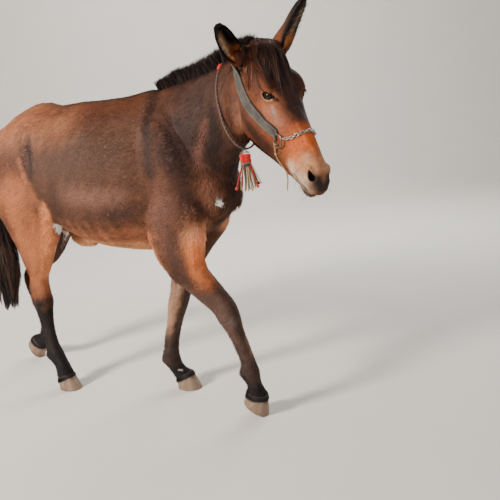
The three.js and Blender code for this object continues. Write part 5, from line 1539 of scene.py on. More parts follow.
def tail(look):
    lockCount, perLock = locks["tail"]
    count = lockCount * perLock
    golden = 2.39996 * np.arange(lockCount)
    first = np.linspace(0, 2.6, lockCount) ** 1.1 * 0.92
    last = 3.1 + 2.85 * chance.random(lockCount) ** 1.1
    share = chance.uniform(0.3, 1.0, lockCount) ** 0.7
    lock = np.repeat(np.arange(lockCount), perLock)
    t = np.linspace(0, 1, 22)[None]
    level = first[lock, None] + (last - first)[lock, None] * t * (1 - 0.3 * chance.random((count, 1)) ** 2)
    table = between(tailRows, np.clip(level, 0, 6) / 6)
    phase = 6.3 * chance.random(lockCount)[lock, None]
    angle = golden[lock, None] + 0.45 * np.sin(2.6 * t + phase) * t
    out = 0.3 + (share[lock, None] - 0.3) * np.minimum(1, t * 3) ** 0.7
    x = (table[..., 0] + table[..., 1]) / 2 + out * np.cos(angle) * (table[..., 0] - table[..., 1]) / 2
    y = out * np.sin(angle) * table[..., 2]
    # strands lie side by side in the lock, part a little at its middle and meet at its tip
    body = 7.5 * (0.35 + 1.3 * t) * (1 - t ** 1.5) ** 0.7 + 0.6
    offset = chance.standard_normal((count, 3, 1)) * 0.5
    own = 6.3 * chance.random((count, 1))
    ripples = (4.4 * np.sin(9 * t + phase) + 2.4 * np.sin(19 * t + own)) * np.minimum(1, 2 * t)
    # each lock strays from the mass towards its end
    stray = chance.normal(0, 15, (2, lockCount))[:, lock, None] * t ** 1.6
    x, y = x + stray[0] + 5 * np.sin(5 * t + 2 * phase) * t, y + stray[1]
    lines = np.stack([x + offset[:, 0] * body + ripples, y + offset[:, 1] * body + 0.7 * ripples,
                      table[..., 3] + 0.3 * offset[:, 2] * body], -1)
    tone = mixed(plain((32, 25, 24), count), (104, 66, 48), 0.7 * chance.random(lockCount)[lock] ** 2.5)
    shades = np.clip(1 + 0.25 * chance.standard_normal(count)
                     + 0.3 * (chance.random(lockCount)[lock] - 0.5), 0.4, 1.9)
    across = crossOf(lines, np.stack([np.cos(angle[:, 0]), np.sin(angle[:, 0]), 0 * lock], -1)
                     + 0.6 * chance.standard_normal((count, 3)))
    unwrap = np.stack([0.02 + 0.94 * lock / lockCount, 0.1 + 0.8 * chance.random(count)], -1)
    ribbons("tail_hair", look, lines, across, np.full(count, 2.5), tone, shades, unwrap, ["tail"])


furLook = coatLook("coatEarTufts", 1.0, 0)
darkHair = hairLook("longHair", 0.42)
for name, ear in ears.items():
    ear["name"] = name
    earPiece(name, ear, coatLook("coatEar" + name.title(), 0.9, 0.001), furLook, darkHair)
mane(darkHair)
forelock(darkHair)
tail(darkHair)
print("hair grown")


# Tubes and cords


def hung(start, way, lift=0.0):
    # where a ray from each start meets the skin, moved back along the ray by the lift
    found = []
    for place, aim in zip(start, way):
        hit = skinTree.ray_cast(Vector(place), Vector(-aim))[0]
        found.append(np.array(hit) if hit else place - 260 * aim)
    return np.array(found) + lift * way


def smoothed(path, passes, closed=False):
    for _ in range(passes):
        if closed:
            path = (np.roll(path, 1, 0) + 2 * path + np.roll(path, -1, 0)) / 4
        else:
            path = np.concatenate([path[:1], (path[:-2] + 2 * path[1:-1] + path[2:]) / 4, path[-1:]])
    return path


def evenly(path, count):
    # the same path with places at equal steps of its length
    path = between(path, np.linspace(0, 1, 24 * len(path)))
    run = runOf(path)
    even = np.linspace(0, run[-1], count)
    return np.stack([np.interp(even, run, path[:, k]) for k in range(3)], -1), run[-1]


def sidesOf(path, hint):
    # two ways square to a path at each of its places, starting from a hint
    along = unit(np.gradient(path, axis=0))
    side = unit(np.cross(along, hint))
    return side, np.cross(along, side)


def tubeOf(path, radius, steps=8, hint=(0.3, 0.5, 0.8)):
    # rings: centre + radius · (cos a · side + sin a · up)
    side, up = sidesOf(path, hint)
    a = circle(steps)[None, :, None]
    return shell(path[:, None] + radius * (np.cos(a) * side[:, None] + np.sin(a) * up[:, None]))


def yarn(path, radius, plies, pitch, hint=(0.3, 0.5, 0.8), braid=False):
    # plies laid round a path: offset · (cos φ · side + sin φ · up), φ = 2π · length / pitch + 2π p / plies;
    # in a braid each ply swings side to side and twice as often up and down
    count = max(24, int(runOf(path)[-1] / pitch * (16)))
    path, length = evenly(path, count)
    side, up = sidesOf(path, hint)
    t = np.linspace(0, length, count)
    shapes, size = [], 0.62 * radius if plies > 1 else radius
    for p in range(plies):
        turn = 2 * np.pi * (t / pitch + p / plies)
        if braid:
            across, high = 0.62 * radius * np.sin(turn), 0.34 * radius * np.sin(2 * turn)
        else:
            across, high = 0.5 * radius * np.cos(turn), 0.5 * radius * np.sin(turn)
        line = path + across[:, None] * side + high[:, None] * up
        shapes.append(tubeOf(line, size, 7, hint))
    return shapes


def fuzz(name, material, path, radius, count, length, tone):
    # loose fibres standing off a cord at random places and ways
    count = count
    place = path[chance.integers(0, len(path) - 1, count)]
    out = unit(chance.standard_normal((count, 3)))
    way = unit(chance.standard_normal((count, 3)))
    t = np.linspace(0, 1, 4)[None, :, None]
    size = length * chance.uniform(0.4, 1, count)[:, None, None]
    lines = (place[:, None] + out[:, None] * (radius * 0.8 + 0.6 * size * t)
             + way[:, None] * size * t ** 1.6 * 0.7)
    across = unit(np.cross(out, way))
    ribbons(name, material, lines, across, np.full(count, 0.55),
            tone[chance.integers(0, len(tone), count)],
            np.full(count, 1.0), np.full((count, 2), 0.5) + 0.4 * chance.uniform(-1, 1, (count, 2)))


def shapeMesh(name, shapes, colours):
    # one mesh of several shapes, each with its own colour
    mesh = meshOf(name, *several(shapes))
    sizes = [len(shape[0]) for shape in shapes]
    tone = np.repeat(np.array([tint(*colour) for colour in colours]), sizes, axis=0)
    points = meshPoints(mesh)
    setTone(mesh, tone * (1 + 0.14 * ripple(points, 9, 4) + 0.06 * ripple(points, 3, 2))[:, None])
    return mesh


def yarnLook(name, fibre, gain=1.0):
    # wool: its own tone, rough, with fine fibres as bump
    look = Look(name)
    hairs = look.noise(fibre, 3, 0.7, stretch=(1, 1, 0.35))
    clumps = look.noise(fibre * 0.16, 2, 0.5)
    level = (hairs * 0.7 + clumps * 0.5 + 0.4) * gain
    return look.finish(Base_Color=look.scaled(look.tone("tone"), level), Roughness=0.92, Sheen_Weight=0.25,
                       Normal=look.bump(hairs, 0.0008, 0.9))


def metalLook(name, colour, rust, wornScale):
    look = Look(name)
    patches = look.noise(wornScale, 5, 0.65)
    scratches = look.noise(900, 2, 0.6, stretch=(1, 0.2, 1))
    worn = patches.step(0.5, 0.68)
    base = look.mix(worn, tint(*colour), tint(*rust))
    return look.finish(Base_Color=base, Metallic=1 - worn * 0.75,
                       Roughness=worn * 0.4 + scratches * 0.2 + 0.22,
                       Normal=look.bump(patches * 0.7 + scratches * 0.3, 0.0004, 0.6))


steelLook = metalLook("wornSteel", (178, 172, 160), (96, 80, 64), 120)
ringLook = metalLook("ringSteel", (134, 118, 98), (84, 64, 48), 90)
tanLook = yarnLook("tanYarn", 1500)
redLook = yarnLook("redYarn", 1300)
darkLook = yarnLook("darkCord", 1600)


# Eyes: a ball with a raised cornea, iris and a wide pupil; a wet rim and lashes
def eyeTone(spread, up, long):
    # spread is the distance from the front of the eye in degrees of arc
    colour = mixed(plain((36, 26, 21), len(spread)), (32, 21, 15), fall(48, 54, spread))
    streak = 0.5 + 0.5 * np.sin(9 * np.arctan2(up, long) + 3 * np.sin(5 * np.arctan2(up, long)))
    colour = mixed(colour, (62, 40, 26), 0.6 * streak * fall(34, 50, spread))
    pupil = np.hypot(long / 9.5, up / 5.2)
    return mixed(colour, (7, 6, 8), fall(0.85, 1.1, pupil))


def eyeballs():
    look = Look("wetEye")
    veins = look.noise(300, 3, 0.6)
    material = look.finish(Base_Color=look.scaled(look.tone("tone"), veins * 0.5 + 0.75), Roughness=0.1,
                           Specular_IOR_Level=0.26, Coat_Weight=0.08, Coat_Roughness=0.03)
    rimLook = Look("wetLid")
    grain = rimLook.noise(900, 2, 0.6)
    lidLook = rimLook.finish(Base_Color=rimLook.scaled(rimLook.tone("tone"), grain * 0.5 + 0.75),
                             Roughness=0.34,
                             Coat_Weight=0.4, Coat_Roughness=0.15, Normal=rimLook.bump(grain, 0.0004, 0.6))
    axis = unit(eye["axis"])
    long = squareTo(axis, unit(eye["long"]))
    tall = np.cross(axis, long)
    tall = tall if tall[2] > 0 else -tall
    for sign, name in ((1, "right"), (-1, "left")):
        flip = np.array((1, sign, 1))
        rings, steps = ((44, 56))
        polar = np.linspace(0.02, np.pi - 0.02, rings)[:, None]
        a = circle(steps)[None]
        radius = eye["radius"] * (1 + 0.045 * np.exp(-(np.degrees(polar) / 34) ** 2)) + 0 * a
        u, v, w = (radius * np.sin(polar) * np.cos(a), radius * np.sin(polar) * np.sin(a),
                   radius * np.cos(polar) + 0 * a)
        grid = eye["at"] + u[..., None] * long + v[..., None] * tall + w[..., None] * axis
        mesh = meshOf("eyeball_" + name, *shell(fromHead(grid * flip)))
        tone = eyeTone(np.degrees(polar + 0 * a).ravel(), v.ravel(), u.ravel())
        setTone(mesh, np.concatenate([tone, tone[:1], tone[-1:]]))
        pieceOf("eyeball_" + name, mesh, material, ["eye_" + name])

        # the rim follows the opening of the lids
        angle = circle(72)
        reach = np.linspace(0, 34, 120)
        u, v = reach[None] * np.cos(angle[:, None]), reach[None] * np.sin(angle[:, None])
        edge = reach[(eyeOpening(u, v) < eye["rim"]).argmax(1)]
        u, v = edge * np.cos(angle), edge * np.sin(angle)
        depth = np.sqrt(np.maximum((eye["radius"] + 0.7) ** 2 - u ** 2 - v ** 2, 9))
        rim = eye["at"] + u[:, None] * long + v[:, None] * tall + depth[:, None] * axis
        rim = smoothed(np.concatenate([rim, rim[:1]]), 2)
        shape = tubeOf(fromHead(rim * flip), 0.95, 8, headWay(axis * flip))
        lidMesh = shapeMesh("eye_rim_" + name, [shape], [(30, 24, 24)])
        pieceOf("eye_rim_" + name, lidMesh, lidLook)

        # lashes along the upper lid, pointing forwards and down
        upper = np.flatnonzero(np.sin(angle) > 0.1)
        count = 84
        pick = chance.uniform(upper.min(), upper.max(), count)
        root = np.stack([np.interp(pick, np.arange(len(rim)), rim[:, k]) for k in range(3)], -1)
        lean = (pick - upper.mean()) / len(upper)
        way = unit(axis * 0.9 + tall * (0.12 + 0.15 * chance.standard_normal((count, 1)))
                   - long * lean[:, None] * 0.9
                   + 0.12 * chance.standard_normal((count, 3)))
        t = np.linspace(0, 1, 6)[None, :, None]
        size = chance.uniform(9, 17, count)[:, None, None]
        lines = root[:, None] + way[:, None] * size * t - (tall * 0.42) * size * t ** 2
        across = crossOf(lines, np.tile(axis + 0.3, (count, 1)))
        ribbons("lashes_" + name, darkHair, fromHead(lines * flip),
                unit(across * flip @ headTurn.T),
                np.full(count, 0.85), plain((24, 19, 18), count), np.ones(count),
                0.5 + 0.3 * chance.uniform(-1, 1, (count, 2)), taper=0.7)


eyeballs()


# Whiskers: long stiff hairs on the muzzle, the chin and below the eye
def whiskers():
    count = 190
    kind = chance.random(count)
    x = np.where(kind < 0.72, chance.uniform(455, 560, count), chance.uniform(225, 260, count))
    turn = np.where(kind < 0.72, chance.uniform(70, 180, count), chance.uniform(62, 84, count))
    turn = np.radians(turn) * np.where(chance.random(count) < 0.5, 1, -1)
    out = np.stack([0 * x, np.sin(turn), np.cos(turn)], -1)
    start = fromHead(np.stack([x, 0 * x, np.full(count, -120.0)], -1) + 200 * out)
    way = out @ headTurn.T
    roots = hung(start, way, -1)
    kept = np.linalg.norm(roots - start, axis=1) < 230
    roots, way, count = roots[kept], way[kept], kept.sum()
    lean = headWay((1, 0, -0.4))
    size = chance.uniform(14, 34, count)[:, None, None]
    t = np.linspace(0, 1, 7)[None, :, None]
    aim = unit(way + 0.35 * lean + 0.25 * chance.standard_normal((count, 3)))
    lines = roots[:, None] + aim[:, None] * size * t + (lean * 0.3 - (0, 0, 0.25)) * size * t ** 2
    tone = mixed(plain((60, 48, 42), count), (196, 178, 156), chance.random(count) ** 2)
    ribbons("whiskers", darkHair, lines, crossOf(lines, chance.standard_normal((count, 3))),
            np.full(count, 0.6), tone, np.ones(count), 0.5 + 0.4 * chance.uniform(-1, 1, (count, 2)))


whiskers()


# Hooves: a flared wall with growth rings, worn at its edge, over a hollow sole
def hornLook():
    look = Look("hoofHorn")
    height = look.share("height")
    grain = look.noise(240, 3, 0.6, stretch=(1, 1, 0.12))
    dirt = look.noise(34, 4, 0.6)
    rings = (height * 150 + dirt * 5 + grain * 1.2).sine()
    tone = look.scaled(look.tone("tone"), grain * 0.4 + dirt * 0.3 + rings * 0.09 + 0.66)
    soil = (1 - height.step(0.05, 0.6)) * dirt.step(0.42, 0.62)
    tone = look.mix(soil, tone, tint(126, 96, 72))
    return look.finish(Base_Color=tone, Roughness=grain * 0.3 + 0.5,
                       Normal=look.bump(rings * 0.3 + grain * 0.7, 0.0016, 0.8))


def hoofShell(name, hoof, look):
    turn, start = hoofFrame(hoof)
    rings, steps = ((70, 120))
    top = 1.13
    h = np.linspace(0, top, rings)[:, None]
    a = circle(steps)[None]
    c, s = np.cos(a), np.sin(a)
    wear = 0.022 * np.sin(5 * a + hoof["yaw"]) + 0.014 * np.sin(11 * a + 2)
    lean = 1 - 0.26 * h
    grow = 0.004 * np.sin(52 * h + 1.6 * np.sin(a)) * smooth(0.05, 0.2, h)
    reach = np.where(c > 0, 0.54, 0.46) * hoofSize["length"]
    x = signed(c, np.where(c > 0, 1.0, 0.77)) * reach * (lean + grow) - 0.42 * hoofSize["lean"] * h
    y = s * 0.5 * hoofSize["width"] * (1 - 0.17 * h + grow)
    z = h * (hoofSize["heel"] + (hoofSize["toe"] - hoofSize["heel"]) * (c + 1) / 2)
    z = z + (1 - h).clip(0) ** 8 * 60 * np.abs(wear)
    wall = np.stack(np.broadcast_arrays(x, y, z), -1)
    # the wall turns in under the edge to the hollow sole, with the frog as a ridge towards the heel
    k = np.array([1, 0.93, 0.9, 0.78, 0.6, 0.4, 0.2])[:, None]
    deep = np.array([0, 0.4, 6, 7.5, 8.5, 9, 9])[:, None]
    x, y, z = wall[0].T
    frog = 7 * np.exp(-(y * k / 13) ** 2) * smooth(30, -20, x * k)
    sole = np.stack([x * k, y * k, z * (k > 0.92) + np.maximum(deep - frog * (k < 0.9), 0.5)], -1)
    points, quads, caps = shell(np.concatenate([sole[::-1], wall[1:]]))
    high = np.concatenate([np.zeros(len(sole) * steps), np.repeat(h[1:, 0], steps), [0, top]])
    shown = points @ turn.T + start
    shown[:, 2] = np.maximum(shown[:, 2], 0.4)
    mesh = meshOf("hoof_" + name, shown, quads, caps)
    tone = plain((142, 117, 97), len(points))
    tone = mixed(tone, (102, 82, 68), smooth(0.5, 1.05, high + 0.16 * ripple(points, 20, 3)))
    streak = np.sin(7 * np.arctan2(points[:, 1], points[:, 0]) + 1)
    tone = mixed(tone, (166, 138, 114), 0.5 * smooth(0.2, 0.6, streak))
    tone = mixed(tone, (74, 58, 48), 0.8 * (high == 0))
    tone = mixed(tone, (38, 31, 30), smooth(0.93, 0.99, high + 0.01 * ripple(points, 6, 1)))
    setTone(mesh, tone)
    setShare(mesh, high, "height")
    pieceOf("horn_" + name, mesh, look, ["hoof_" + name])

    # the coronet's hair falls over the wall's top
    count = 4200
    angle = chance.uniform(0, 2 * np.pi, count)
    level = chance.uniform(0.94, 1.12, count)
    i = (level / top * (rings - 1)).astype(int).clip(0, rings - 2)
    j = (angle / (2 * np.pi) * steps).astype(int) % steps
    roots = wall[i, j]
    below = wall[np.maximum(i - 2, 0), j]
    down = unit((below - roots) @ turn.T)
    out = unit((roots - (-10, 0, 0)) * (1, 1, 0) @ turn.T)
    roots = roots @ turn.T + start
    way = unit(down + 0.12 * chance.standard_normal((count, 3)))
    back = smooth(20, -40, wall[i, j][:, 0])
    tone = plain((38, 31, 30), count) * chance.uniform(0.7, 1.5, count)[:, None]
    length = (10 + 9 * back) * chance.uniform(0.6, 1.2, count)
    fur("coronet_hair_" + name, furLook, roots, out, way, tone, np.ones(count), length, 1.5, 1.5,
        np.stack([angle / 6.4, 0.2 * level], -1), 0.1 * chance.standard_normal(count), 3)


horn = hornLook()
for name, hoof in hooves.items():
    hoofShell(name, hoof, horn)
print("hooves made")


# Head collar
strapRows = [   # x on the head, turn from the crown in degrees, z of the middle
    [324, -90, -98], [252, -90, -106], [166, -90, -108], [84, -88, -98],
    [16, -78, -94], [-16, -52, -102], [-27, -26, -106], [-29, 0, -106],
]
noseRows = [[366, -88, -84], [383, -61, -90], [397, -25, -90], [400, 0, -90]]
chinRows = [[352, -132, -112], [366, -146, -112], [390, -154, -112], [414, -166, -112], [422, -180, -112]]
ringSize = {"major": 21, "wire": 2.8}
linkSize = {"length": 15.5, "wide": 9.6, "wire": 1.65}
strapSize = {"half": 19, "thick": 2.5, "steps": 220, "columns": 15,
             "pulls": 40}


def mirroredRows(rows, about=0):
    return rows + [[x, 2 * about - turn, z] for x, turn, z in rows[-2::-1]]


def roundHead(rows, count):
    x, turn, z = np.moveaxis(between(rows, np.linspace(0, 1, count)), -1, 0)
    turn = np.radians(turn)
    out = np.stack([0 * x, np.sin(turn), np.cos(turn)], -1)
    start = np.stack([x, 0 * x, z], -1) + 260 * out
    return fromHead(start), out @ headTurn.T


def ringPlace(side):
    out = unit((0.1, side, 0.06))
    seat = hung(fromHead([(352, side * 200, -105)]), np.array([headWay((0, side, 0))]))[0]
    return seat + headWay(out) * (ringSize["wire"] + 5), headWay(out)


def wireOf(side, place):
    # where a strap or cord that comes from a place goes round its ring: the wire's middle there,
    # the way to it from the ring's middle, and the ring's own axis
    middle, out = ringPlace(side)
    towards = squareTo(out, unit(place - middle))
    return middle + towards * ringSize["major"], towards, out


def webbing():
    length, columns, half = strapSize["steps"], strapSize["columns"], strapSize["half"]
    start, out = roundHead(mirroredRows(strapRows), length)
    side = unit(np.cross(np.gradient(start, axis=0), out))
    u = np.linspace(-half, half, columns)
    drops = np.empty((length, columns))
    for j, reach in enumerate(u):
        origin = start + side * reach
        drops[:, j] = ((origin - hung(origin, out)) * out).sum(1)
    height = -drops + 2.6
    # pulled taut: it bridges hollows and softens over edges
    for _ in range(strapSize["pulls"]):
        height[1:-1] = np.maximum(height[1:-1], (height[:-2] + height[2:]) / 2)
        height[:, 1:-1] = np.maximum(height[:, 1:-1], (height[:, :-2] + height[:, 2:]) / 2 - 0.25)
    height = smoothed(height, 3)
    t = np.linspace(-1, 1, length)[:, None]
    height = (height + 6 * smooth(0.95, 0.8, np.abs(t)) * smooth(0.35, 0.6, np.abs(t))
              * (1 - u[None] / half) / 2)
    narrow = 1 - 0.16 * smooth(0.93, 1, np.abs(t))
    seam = (u / half)[None]
    thick = strapSize["thick"] - 0.9 * np.abs(seam) ** 6 + 0.25 * np.sin(3 * np.pi * seam)
    wavy = 0.5 * np.sin(23 * t + 1) * seam + 0.35 * np.sin(61 * t)

    def layer(aside, up):
        return start[:, None] + side[:, None] * aside[..., None] + out[:, None] * up[..., None]

    def shares(run):
        # how far along and across the band each point of a closed strip lies
        across = np.tile(np.concatenate([u, u[::-1]]), len(run))
        return np.append(np.repeat(run, 2 * columns), [0, run[-1]]), np.append(across, [0, 0])

    top = layer(u * narrow + 0.4 * np.sin(37 * t), height + thick + wavy)
    low = layer(u * narrow, height + wavy)
    full = np.linalg.norm(np.diff(top[:, columns // 2], axis=0), axis=1).sum()
    shapes = [shell(np.concatenate([top, low[:, ::-1]], 1))]
    places = [shares(np.linspace(0, 1.0, length) * full)]

    # each end is folded round its ring and laid back on the band, with a sewn end
    for hand, index in ((-1, 0), (1, length - 1)):
        step = 1 if index == 0 else -1
        over = top[index::step][:max(6, length // 7)]
        outHere = out[index::step][:len(over)]
        lift = np.interp(np.arange(len(over)), [0, 2, len(over) - 2, len(over) - 1], [0.6, 1.0, 1.0, 0.2])
        upper = over + outHere[:, None] * (1.6 * lift + 0.5)[:, None, None]
        lower = over - outHere[:, None] * 0.6
        wire, towards, ringOut = wireOf(hand, over[0, columns // 2])
        spread = over[0] - over[0, columns // 2]
        # half a turn round the wire, as wide as the gathered band
        turns = np.linspace(np.pi / 2, -np.pi / 2, 9)[:, None, None]
        bend = wire + spread[None] * 0.8 - towards * 4.4 * np.cos(turns) + ringOut * 4.4 * np.sin(turns)
        arc = spread @ unit(spread[-1] - spread[0])
        inward = ringSize["major"] - np.sqrt(np.maximum(ringSize["major"] ** 2 - (0.8 * arc) ** 2, 0))
        bend = bend - towards * np.minimum(inward, 9)[None, :, None]
        share = np.linspace(0, 1, 5)[1:-1, None, None]
        end = (lower[0] - outHere[0] * 1.6)[None]
        outerIn = upper[0][None] * (1 - share) + bend[0][None] * share
        innerOut = bend[-1][None] * (1 - share) + end * share
        centre = np.concatenate([upper[::-1], outerIn, bend, innerOut, end])
        normal = unit(np.cross(np.gradient(centre, axis=0), np.gradient(centre, axis=1)))
        if (normal[2, columns // 2] @ outHere[0]) < 0:
            normal = -normal
        shapes.append(shell(np.concatenate([centre + 0.9 * normal, (centre - 0.9 * normal)[:, ::-1]], 1)))
        places.append(shares(runOf(centre[:, columns // 2])))
    mesh = meshOf("halter_strap", *several(shapes))
    along, across = np.concatenate(places, 1)
    setShare(mesh, along, "along")
    setShare(mesh, across, "across")
    setShare(mesh, (np.arange(len(along)) >= len(places[0][0])).astype(float), "folded")
    pieceOf("webbing_strap", mesh, webbingLook(), ["halter_strap"])


def webbingLook():
    # ribs along the band and picks across it, stitches near both edges and a dark box on the sewn ends
    look = Look("webbing")
    long, wide = look.share("along"), look.share("across")
    aside = wide * wide / strapSize["half"] ** 2
    ribs = (wide * 4.4).sine() * 0.5 + 0.5
    picks = ((long * 3.4) + (wide * 2.2).sine() * 1.4).sine() * 0.5 + 0.5
    weave = ribs * 0.5 + picks * 0.5
    grime = look.noise(26, 4, 0.65)
    fine = look.noise(700, 3, 0.7)
    edge = aside.step(0.66, 1.0)
    base = look.mix(grime.step(0.36, 0.66), tint(88, 81, 72), tint(64, 57, 50))
    base = look.mix(edge * 0.5, base, tint(56, 48, 44))
    stitch = (long * 1.9).sine().step(0.1, 0.5)
    seamLine = (aside - 0.6) * 12
    seamLine = (1 - (seamLine * seamLine).step(0.25, 1.0)) * stitch
    box = (1 - ((long / 9) * (long / 9)).step(1.0, 1.6)) * look.share("folded")
    base = look.mix(seamLine * 0.6, base, tint(168, 160, 146))
    base = look.mix(box * 0.35, base, tint(48, 42, 40))
    base = look.scaled(base, weave * 0.42 + fine * 0.5 + 0.52)
    return look.finish(Base_Color=base, Roughness=fine * 0.2 + 0.78, Sheen_Weight=0.12,
                       Normal=look.bump(weave * 0.7 + fine * 0.3, 0.0011, 0.9))


def rings():
    for side, name in ((-1, "right"), (1, "left")):
        middle, out = ringPlace(side)
        first = unit(np.cross(out, (0.2, 0.3, 1)))
        second = np.cross(out, first)
        a = np.linspace(0, 2 * np.pi, 97)[:, None]
        path = middle + ringSize["major"] * (first * np.cos(a) + second * np.sin(a))
        wire = ringSize["wire"] * (1 + 0.05 * np.sin(3 * a + side))
        mesh = meshOf("ring_" + name, *hoop(path, middle, out, wire[..., None], 14))
        pieceOf("ring_" + name, mesh, ringLook, ["halter_ring_" + name])


def chainOf(path, length, wide, wire):
    # links along a path: each is an oval ring, turned by its own angle and overlapping the next
    count = int(round(evenly(path, 50)[1] / (length - 2.6 * wire)))
    ends = evenly(path, count + 1)[0]
    centres = (ends[:-1] + ends[1:]) / 2
    along = unit(np.gradient(centres, axis=0))
    side, up = sidesOf(centres, headWay((0.2, 0.1, 1)))
    a = np.linspace(0, 2 * np.pi, 29)[:, None]
    shapes = []
    for k in range(count):
        turn = np.radians(34 if k % 2 else -30) + 0.12 * np.sin(3.1 * k)
        flat = side[k] * np.cos(turn) + up[k] * np.sin(turn)
        link = (centres[k] + along[k] * 0.5 * length * signed(np.cos(a), 0.72)
                + flat * 0.5 * wide * signed(np.sin(a), 0.72))
        shapes.append(hoop(link, centres[k], np.cross(along[k], flat), wire, 8))
    return shapes


def noseChain():
    start, out = roundHead(mirroredRows(noseRows), 60)
    path = smoothed(hung(start, out, 5.2), 6)
    for side, place in ((-1, 0), (1, -1)):
        middle = sum(ringPlace(side))
        path[place] = middle + unit(path[place] - middle) * ringSize["major"]
    shapes = chainOf(smoothed(path, 3), **linkSize)
    pieceOf("nose_chain", meshOf("nose_chain", *several(shapes)), steelLook, ["halter_nose_chain"])


chinSize = {"radius": 2.5, "pitch": 8.5, "drop": 56, "dropFrom": 0.38, "diameter": 0.0038,
            "colours": [(186, 148, 102), (160, 122, 82)]}


def chinCord():
    start, out = roundHead(mirroredRows(chinRows, -180), 50)
    path = smoothed(hung(start, out, 3.4), 3)
    a = np.linspace(0, 2 * np.pi, 24)[:, None]
    shapes, ends = [], []
    for side, place in ((-1, path[0]), (1, path[-2])):
        # a loop round the ring
        wire, towards, ringOut = wireOf(side, place)
        shapes += yarn(wire + 5.2 * (np.cos(a) * towards + np.sin(a) * ringOut), 2.3, 2, 7)
        ends.append((wire + towards * 4)[None])
    path = smoothed(np.concatenate([ends[0], path, ends[1]]), 2)
    shapes += yarn(path, chinSize["radius"], 2, chinSize["pitch"])
    for share in (0.06, 0.94):
        at = int(share * (len(path) - 1))
        shapes.append(knotOf(path[at], path[at + 1] - path[at], 4.6))
    # the loose end hangs straight down from a knot, and frays
    middle = path[int(chinSize["dropFrom"] * len(path))] + np.array((0, 0, -2.4))
    drop = np.linspace(0, chinSize["drop"], 16)[:, None]
    drooping = middle + np.concatenate([-0.1 * drop + 1.5 * np.sin(drop / 14), 0.04 * drop, -drop], 1)
    shapes.append(knotOf(middle + (0, 0, -2), (0, 0, -1), 5))
    parts = {"chin_cord": shapes, "chin_cord_end": yarn(drooping, 2.1, 2, 7.5),
             "chin_cord_tuft": [tuftOf(drooping[-1] + (0, 0, 2), 2.2, 7)]}
    for name, some in parts.items():
        mesh = shapeMesh(name, some, [chinSize["colours"][i % 2] for i in range(len(some))])
        pieceOf(name, mesh, tanLook,
                             ["halter_chin_cord"] if some is shapes else ())
    line, length = evenly(drooping, 60)
    tone = np.array([tint(*colour) for colour in chinSize["colours"]])
    fuzz("chin_fuzz", tanLook, np.concatenate([path, drooping]), 2.4, 500, 4.5, tone)


def knotOf(place, way, size):
    # a lumpy ball of yarn turns: radius · (1 + small waves)
    a = circle(16)[None]
    p = np.linspace(0.15, np.pi - 0.15, 10)[:, None]
    radius = size * (1 + 0.10 * np.sin(3 * a + 5 * p) + 0.05 * np.sin(8 * p + a))
    along = unit(way)
    side = unit(np.cross(along, (0.3, 0.5, 0.8)))
    up = np.cross(along, side)
    wide = radius * np.sin(p)
    grid = (place + (wide * np.cos(a))[..., None] * side + (wide * np.sin(a))[..., None] * up
            + (1.05 * radius * np.cos(p) + 0 * a)[..., None] * along)
    return shell(grid, place)


def tuftOf(place, size, length):
    # a frayed end: a narrow cone, open downwards
    t = np.linspace(0, 1, 6)[:, None]
    a = circle(12)[None]
    radius = size * (0.55 + 0.6 * t) * (1 + 0.18 * np.sin(5 * a) * t)
    rings = np.broadcast_arrays(radius * np.cos(a), radius * np.sin(a), -length * t)
    return shell(place + np.stack(rings, -1), place)


webbing()
rings()
noseChain()
chinCord()
print("head collar made")


# Neck cord with its bead, and the tassel
cordSize = {"top": (782, -84, 1446), "low": (852, -138, 1148), "across": (0.36, 0.93, 0), "slack": 22,
            "radius": 4.2, "pitch": 16, "colours": [(86, 64, 54), (54, 40, 36), (114, 86, 70)], "bead": 124,
            "tassel": 68}
tassel = {"face": (0.8, 0.6, 0), "clasp": 14, "wrap": 36, "width": 44, "depth": 26, "length": 96}


def neckCord():
    top, low = np.array(cordSize["top"], float), np.array(cordSize["low"], float)
    up = unit(top - low)
    across = squareTo(up, cordSize["across"])
    a = np.linspace(0, 2 * np.pi, 129)
    out = up * np.cos(a)[:, None] + across * np.sin(a)[:, None]
    slack = cordSize["slack"] * np.maximum(0, -np.cos(a)) ** 3
    path = hung((top + low) / 2 + 330 * out, out) + out * (4.6 + slack)[:, None]
    # the loop starts and ends inside the bead
    path = np.roll(smoothed(path[:-1], 4, closed=True), -cordSize["bead"], 0)
    path = np.concatenate([path, path[:1]])
    line, length = evenly(path, 200)
    shapes = yarn(path, cordSize["radius"], 3, cordSize["pitch"], hint=unit(across + 0.2 * up), braid=True)
    mesh = shapeMesh("neck_cord", shapes, cordSize["colours"])
    pieceOf("braided_neck_cord", mesh, darkLook, ["neck_cord"])
    fuzz("neck_fuzz", darkLook, line, 3.4, 900, 4,
         np.array([tint(70, 56, 50), tint(120, 96, 78), tint(40, 32, 30)]))
    print("neck cord made, mm round:", round(length))
    return path


def bead(path):
    # wool wound round the cord: a barrel with a ridge for each turn, and loose fibres
    at, way = path[0], unit(path[1] - path[-2])
    side = unit(np.cross(way, (0, 0, 1)))
    up = np.cross(way, side)
    t = np.linspace(-1, 1, 60)[:, None]
    a = circle(36)[None]
    ridge = 0.45 * np.sin(t * 26 + a)
    radius = 8.6 * np.sqrt(np.maximum(1 - 0.72 * t ** 4, 0.05)) + ridge
    grid = (at + (t * 10.5)[..., None] * way + (radius * np.cos(a))[..., None] * side
            + (radius * np.sin(a))[..., None] * up)
    mesh = shapeMesh("bead", [shell(grid, at)], [(214, 34, 30)])
    pieceOf("bead_yarn", mesh, redLook, ["neck_cord_bead"])
    fuzz("bead_fuzz", redLook, at + way * np.array([[-7], [-2], [3], [8]]), 8.4, 500, 4.5,
         np.array([tint(224, 44, 36), tint(180, 22, 22)]))


